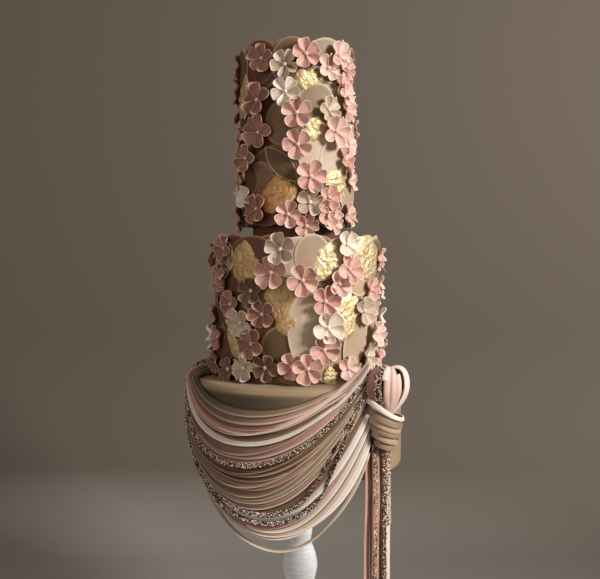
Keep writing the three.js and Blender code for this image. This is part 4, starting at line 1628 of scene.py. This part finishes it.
def hang_tails(finishes: Finishes, draw: np.random.Generator) -> np.ndarray:
    """Hangs the eight tails from the knot.

    Args:
        finishes: the cake's materials.
        draw: the seeded stream.

    Returns:
        Places for sugar grains on the tails that carry them.
    """
    tails = [
        Tail("tail_1", Tone.ROSE), Tail("tail_2", Tone.MAUVE, crystals=True),
        Tail("tail_3", Tone.CHOCOLATE), Tail("tail_4", Tone.SAND),
        Tail("tail_5", Tone.CHOCOLATE, crystals=True), Tail("tail_6", Tone.IVORY),
        Tail("tail_7", Tone.TAUPE, crystals=True), Tail("tail_8", Tone.IVORY),
    ]
    places = []
    for tail in tails:
        line = tail.build(finishes)
        if tail.crystals:
            places.append(tail.grains(line, draw))
    return np.concatenate(places)


# -------------------------------------------------------------------- the plain tiers


@dataclass
class PlainTier:
    """A tier covered with one smooth sheet of paste, rolled thin over a rounded edge."""

    node: str
    rim: float                   # mm that its edge is rounded by
    painted_shade: float = 0.0          # share of painted shade over its left side
    unevenness: float = 0.25     # mm that the hand-smoothed wall wanders

    def build(self, material: bpy.types.Material, slot: str) -> None:
        """Covers the drum: a straight wall, a quarter circle at the edge and a flat top.

        Args:
            material: the sheet's material.
            slot: the material's name in the frame.
        """
        points = node_points(self.node)
        reach = np.hypot(points[:, 0] - CAKE_AXIS, points[:, 1])
        radius, low, high = reach.max(), points[:, 2].min(), points[:, 2].max()
        foot = np.array([[radius - 1.6, low], [radius - 0.5, low + 0.4]])
        drum = drum_profile(radius, low + 1.5, high, self.rim, (30, 10, 14))
        skin = turned(np.concatenate([foot, drum]), CAKE_AXIS, around=180)
        x, y, z = (skin.points - (CAKE_AXIS, 0.0, 0.0)).T
        bearing = np.arctan2(x, -y)
        wander = np.sin(5 * bearing + z / 17.0) * np.sin(3 * bearing - z / 29.0 + 1.0)
        skin.points[:, :2] += (self.unevenness * wander / np.maximum(np.hypot(x, y), 1.0))[:, None] \
            * np.stack([x, y], axis=-1)
        # painted shade: the wall darkens towards the left, and stays clear of the rim
        below_rim = smooth((high - self.rim - z) / self.rim)
        skin.values["deep"] = self.painted_shade * below_rim * smooth(0.62 - 0.9 * np.sin(bearing))
        skin.piece(f"{self.node}_cover", material, slot, self.node)


# ------------------------------------------------------------------------- the studio


@dataclass
class Studio:
    """A pale floor that sweeps up into a plain warm grey backdrop, a soft key and a weak fill.

    Lengths are in metres and powers in watts.
    """

    lens: float = 43.2
    camera_place: tuple[float, float, float] = (0.0, -0.7215, 0.4325)
    camera_dip: float = 0.0415   # radians below level
    look_at: tuple[float, float, float] = (0.0, 0.0, 0.38)
    key_place: tuple[float, float, float] = (1.25, -0.8, 1.0)
    key_size: float = 0.45
    key_power: float = 29.0
    key_colour: str = "#fffcf8"
    fill_place: tuple[float, float, float] = (-1.2, -1.1, 0.8)
    fill_size: float = 1.2
    fill_power: float = 6.5
    fill_colour: str = "#e4dcd3"
    air_colour: str = "#b6aea6"
    air_strength: float = 0.42
    # painted light: the floor is paler on the left and darker on the right, evening out the key light
    floor_left: str = "#a8a39c"
    floor_right: str = "#6e665d"
    backdrop: str = "#6d6359"
    half_sheet: float = 3.0      # half the sheet's width, and how far it runs forward and up
    bend_from: float = 0.3       # metres behind the stand where the floor starts to bend
    bend_radius: float = 0.3

    def camera(self) -> None:
        """The camera at the photograph's angle."""
        data = bpy.data.cameras.new("camera")
        data.lens = self.lens
        data.clip_start = 0.05
        camera = bpy.data.objects.new("camera", data)
        camera.location = self.camera_place
        camera.rotation_euler = (math.pi / 2 - self.camera_dip, 0.0, 0.0)
        bpy.context.scene.collection.objects.link(camera)
        bpy.context.scene.camera = camera

    def area(self, name: str, place: tuple[float, float, float], size: float, power: float,
             colour: str) -> None:
        """A square area light that looks at the middle of the cake.

        Args:
            name: the light's name.
            place: where it stands.
            size: the length of its side.
            power: its power.
            colour: its colour, as hex digits.
        """
        data = bpy.data.lights.new(name, "AREA")
        data.size = size
        data.energy = power
        data.color = linear(colour)[:3]
        light = bpy.data.objects.new(name, data)
        light.location = place
        way = np.array(self.look_at) - np.array(place)
        light.rotation_euler = (math.pi - math.acos(way[2] / np.linalg.norm(way)), 0.0,
                                math.atan2(way[1], way[0]) - math.pi / 2)
        bpy.context.scene.collection.objects.link(light)

    def sweep(self) -> None:
        """The floor and the backdrop as one bent sheet: flat, a quarter circle, then upright.

        Seen from its back the sheet is clear, so that the cake's far side can be looked at.
        """
        bend = np.radians(np.linspace(-90.0, 0.0, 16))
        curve = np.stack([self.bend_from + self.bend_radius * np.cos(bend),
                          self.bend_radius + self.bend_radius * np.sin(bend)], axis=-1)
        line = np.concatenate([[[-self.half_sheet, 0.0]], curve,
                               [[self.bend_from + self.bend_radius, self.half_sheet]]])
        across = np.array([-self.half_sheet, self.half_sheet])
        points = np.stack(np.broadcast_arrays(across[None, :], line[:, :1], line[:, 1:]), axis=-1)
        mesh = bpy.data.meshes.new("studio_sweep")
        at = np.arange(len(line) - 1) * 2
        faces = np.stack([at, at + 1, at + 3, at + 2], axis=-1)
        mesh.from_pydata(points.reshape(-1, 3).tolist(), [], faces.tolist())
        mesh.shade_smooth()
        material, tree = new_material("studio_paper")
        place = add_node(tree, "ShaderNodeTexCoord").outputs["Object"]
        parts = add_node(tree, "ShaderNodeSeparateXYZ", {0: place}).outputs
        # painted light: the floor grades from pale on the left to dark on the right
        floor = mixed(tree, ranged(tree, parts["X"], -0.35, 0.45), linear(self.floor_left),
                      linear(self.floor_right))
        colour = mixed(tree, ranged(tree, parts["Z"], 0.0, 0.075), floor, linear(self.backdrop))
        shader = add_node(tree, "ShaderNodeBsdfPrincipled", {"Base Color": colour, "Roughness": 0.9})
        behind = add_node(tree, "ShaderNodeNewGeometry").outputs["Backfacing"]
        clear = add_node(tree, "ShaderNodeBsdfTransparent")
        seen = add_node(tree, "ShaderNodeMixShader", {0: behind, 1: shader.outputs[0], 2: clear.outputs[0]})
        add_node(tree, "ShaderNodeOutputMaterial", {"Surface": seen.outputs[0]})
        mesh.materials.append(material)
        obj = bpy.data.objects.new("studio_sweep", mesh)
        bpy.context.scene.collection.objects.link(obj)

    def build(self) -> None:
        """Sets the camera, the lights and the sweep, and keeps the colours as the shaders give them."""
        bpy.context.scene.view_settings.view_transform = "Standard"
        self.camera()
        self.sweep()
        self.area("key_light", self.key_place, self.key_size, self.key_power, self.key_colour)
        self.area("fill_light", self.fill_place, self.fill_size, self.fill_power, self.fill_colour)
        world = bpy.data.worlds.new("studio_air")
        world.use_nodes = True
        world.node_tree.nodes.clear()
        air = add_node(world.node_tree, "ShaderNodeBackground", {
            "Color": linear(self.air_colour), "Strength": self.air_strength})
        add_node(world.node_tree, "ShaderNodeOutputWorld", {"Surface": air.outputs[0]})
        bpy.context.scene.world = world


# --------------------------------------------------------------------------- the object


def top_tier() -> DecoratedTier:
    """The tall top tier, with its shown plaques, gold leaf and extra blossoms.

    Returns:
        The tier.
    """
    disc, petal, leaf = Outline.DISC, Outline.PETAL, Outline.LEAF
    return DecoratedTier(
        "top", rows=5, per_row=9, crown_count=10, crown_start=-40.0, crown_rise=6.0, crown_length=42.0,
        crown_tones=(Tone.CHOCOLATE, Tone.MOCHA, Tone.KHAKI, Tone.BRONZE, Tone.SAND, Tone.TAUPE),
        seed=41, back_count=24,
        plaques=[
            Plaque(-10, 148, 46, 42, Tone.MOCHA, disc, lift=1.1),
            Plaque(-40, 147, 50, 50, Tone.CHOCOLATE, disc, lift=1.7),
            Plaque(31, 156, 40, 32, Tone.KHAKI, disc, lift=1.9),
            Plaque(20, 108, 40, 42, Tone.KHAKI, disc, lift=1.9),
            Plaque(-13, 90, 34, 46, Tone.MOCHA, petal, 10, lift=1.6),
            Plaque(-66, 95, 36, 44, Tone.CHOCOLATE, petal, lift=1.7),
            Plaque(-40, 34, 34, 46, Tone.MOCHA, petal, lift=1.2),
            Plaque(-58, 39, 30, 42, Tone.CHOCOLATE, petal, lift=1.7),
            Plaque(-15, 55, 19, 46, Tone.BRONZE, leaf, -42, lift=2.1, curl=1.2),
            Plaque(18, 60, 30, 44, Tone.TAUPE, petal, -6, lift=1.6),
            Plaque(38, 58, 28, 42, Tone.TAUPE, petal, 6, lift=2.0),
            Plaque(67, 24, 36, 36, Tone.SAND, disc, lift=1.6),
        ],
        gold=[
            # the sixth number is the share of painted shade, given to the patches on the shaded left
            LeafPatch(9, 133, 21, 21), LeafPatch(-62, 120, 22, 46, 12, 0.4, 3.6), LeafPatch(17, 87, 25, 24),
            LeafPatch(-18, 27, 33, 36, 0, 0.85), LeafPatch(42, 41, 27, 22),
            LeafPatch(-70, 50, 16, 32, 0, 0.5, 3.4), LeafPatch(73, 93, 12, 18),
            LeafPatch(122, 60, 24, 30), LeafPatch(160, 132, 26, 22), LeafPatch(200, 88, 22, 34),
            LeafPatch(236, 40, 24, 24), LeafPatch(228, 128, 18, 30), LeafPatch(176, 20, 28, 20),
        ],
        extras=[
            Extra(Tone.TAUPE, -11, 145.7, 12.5), Extra(Tone.BLUSH, 31, 144, 12.5),
            Extra(Tone.ROSE, 58, 108, 12.5), Extra(Tone.ROSE, -8, 9, 12.5),
            Extra(Tone.TAUPE, 12.5, 20, 12.5), Extra(Tone.ROSE, 32, 25, 12), Extra(Tone.ROSE, 60, 10.5, 12),
            Extra(Tone.MAUVE, -85, 155, 12), Extra(Tone.MAUVE, -86, 112, 12),
            Extra(Tone.IVORY, -63, 27, 12), Extra(Tone.MAUVE, -79, 5, 12),
            Extra(Tone.BLUSH, 62, 78, 10.5), Extra(Tone.ROSE, 58, 148, 11), Extra(Tone.BLUSH, 66, 44, 10.5),
            Extra(Tone.MAUVE, -70, 84, 11), Extra(Tone.MAUVE, -73, 44, 12), Extra(Tone.BLUSH, 50, 122, 11),
            Extra(Tone.ROSE, 9, -2, 11), Extra(Tone.BLUSH, 37, 2, 11.5), Extra(Tone.BLUSH, 44, 88, 11),
        ])


def middle_tier() -> DecoratedTier:
    """The wide middle tier, with its shown plaques, gold leaf and extra blossoms.

    Returns:
        The tier.
    """
    disc, petal, leaf = Outline.DISC, Outline.PETAL, Outline.LEAF
    return DecoratedTier(
        "middle", rows=4, per_row=12, crown_count=11, crown_start=-31.0, crown_rise=3.0, crown_length=38.0,
        crown_tones=(Tone.CHOCOLATE, Tone.TAUPE, Tone.SAND, Tone.MOCHA, Tone.SAND, Tone.TAUPE),
        seed=67, back_count=26,
        plaques=[
            Plaque(11, 110, 32, 46, Tone.SAND, petal, -8, lift=2.0, curl=0.9),
            Plaque(-49, 84, 42, 40, Tone.CHOCOLATE, disc, lift=1.4),
            Plaque(-62, 26, 40, 42, Tone.CHOCOLATE, petal, lift=1.5),
            Plaque(-17, 85, 36, 36, Tone.MOCHA, petal, lift=1.5),
            Plaque(-9, 31, 38, 40, Tone.BRONZE, petal, 10, lift=1.8),
            Plaque(5, 51, 30, 82, Tone.TAUPE, leaf, 3, lift=2.5, curl=0.5),
            Plaque(42, 36, 28, 58, Tone.SAND, leaf, 24, lift=2.0, curl=0.9),
            Plaque(47, 98, 40, 40, Tone.SAND, disc, lift=1.5),
            Plaque(70, 69, 38, 42, Tone.SAND, petal, lift=1.5),
            Plaque(73, 24, 36, 36, Tone.TAUPE, disc, lift=1.7),
            Plaque(-84, 69, 38, 42, Tone.MOCHA, petal, lift=1.6),
            Plaque(26, 71, 27, 36, Tone.MOCHA, petal, -12, lift=1.8),
        ],
        gold=[
            # the sixth number is the share of painted shade, given to the patches on the shaded left
            LeafPatch(-36, 108, 34, 38, 0, 0.65), LeafPatch(-83, 108, 18, 16, 0, 0.6),
            LeafPatch(-9, 72, 30, 54, -10, 0.6),
            LeafPatch(20, 110, 24, 42, 24), LeafPatch(57, 114, 44, 42), LeafPatch(34, 60, 26, 50, 14),
            LeafPatch(-45, 33, 16, 32, -34, 0.4), LeafPatch(22, 8, 16, 14), LeafPatch(120, 80, 30, 28),
            LeafPatch(158, 40, 26, 36), LeafPatch(190, 100, 34, 26), LeafPatch(222, 56, 24, 40),
            LeafPatch(252, 92, 26, 26),
        ],
        extras=[
            Extra(Tone.MOCHA, -30, 84, 12.5), Extra(Tone.MAUVE, -48, 71, 12.5),
            Extra(Tone.BLUSH, 28, 90, 12.5), Extra(Tone.ROSE, 58, 84, 12), Extra(Tone.MAUVE, -22, 63, 13),
            Extra(Tone.MOCHA, -20, 15, 12.5), Extra(Tone.MOCHA, -51, 10, 12),
            Extra(Tone.ROSE, -3, 17, 12.5), Extra(Tone.IVORY, 81, 53, 13), Extra(Tone.IVORY, 34, 126, 12.5),
            Extra(Tone.MAUVE, -56, 123, 12.5), Extra(Tone.MAUVE, -57, 97, 12),
            Extra(Tone.MAUVE, -65, 38, 12),
            Extra(Tone.MAUVE, -75, 58, 12), Extra(Tone.MAUVE, -80, 116, 12), Extra(Tone.MOCHA, -71, 13, 12),
            Extra(Tone.BLUSH, 78, 85, 12), Extra(Tone.ROSE, 75, 112, 12), Extra(Tone.ROSE, 72, 15, 12),
            Extra(Tone.TAUPE, 87, 30, 12),
        ])


def main() -> None:
    """Builds the studio, the stand and the cake from the ground up."""
    logging.basicConfig(level=logging.INFO, format="%(message)s")
    Studio().build()
    finishes = Finishes()
    Stand().build(finishes)
    PlainTier("bottom_tier", rim=4.0, painted_shade=0.95).build(finishes.tier, "plain_sugar_paste")
    PlainTier("neck_tier", rim=1.0).build(finishes.paste[Tone.CHOCOLATE], "cocoa_sugar_paste")
    middle_tier().dress(finishes)
    top_tier().dress(finishes)
    draw = np.random.default_rng(GRAIN_SEED)
    places = [Swag().build(finishes, draw), Knot().build(finishes, draw), hang_tails(finishes, draw)]
    crystals(np.concatenate(places), draw).piece("sugar_crystals", finishes.crystal, "strip_sugar_paste")


if __name__ == "__main__":
    main()
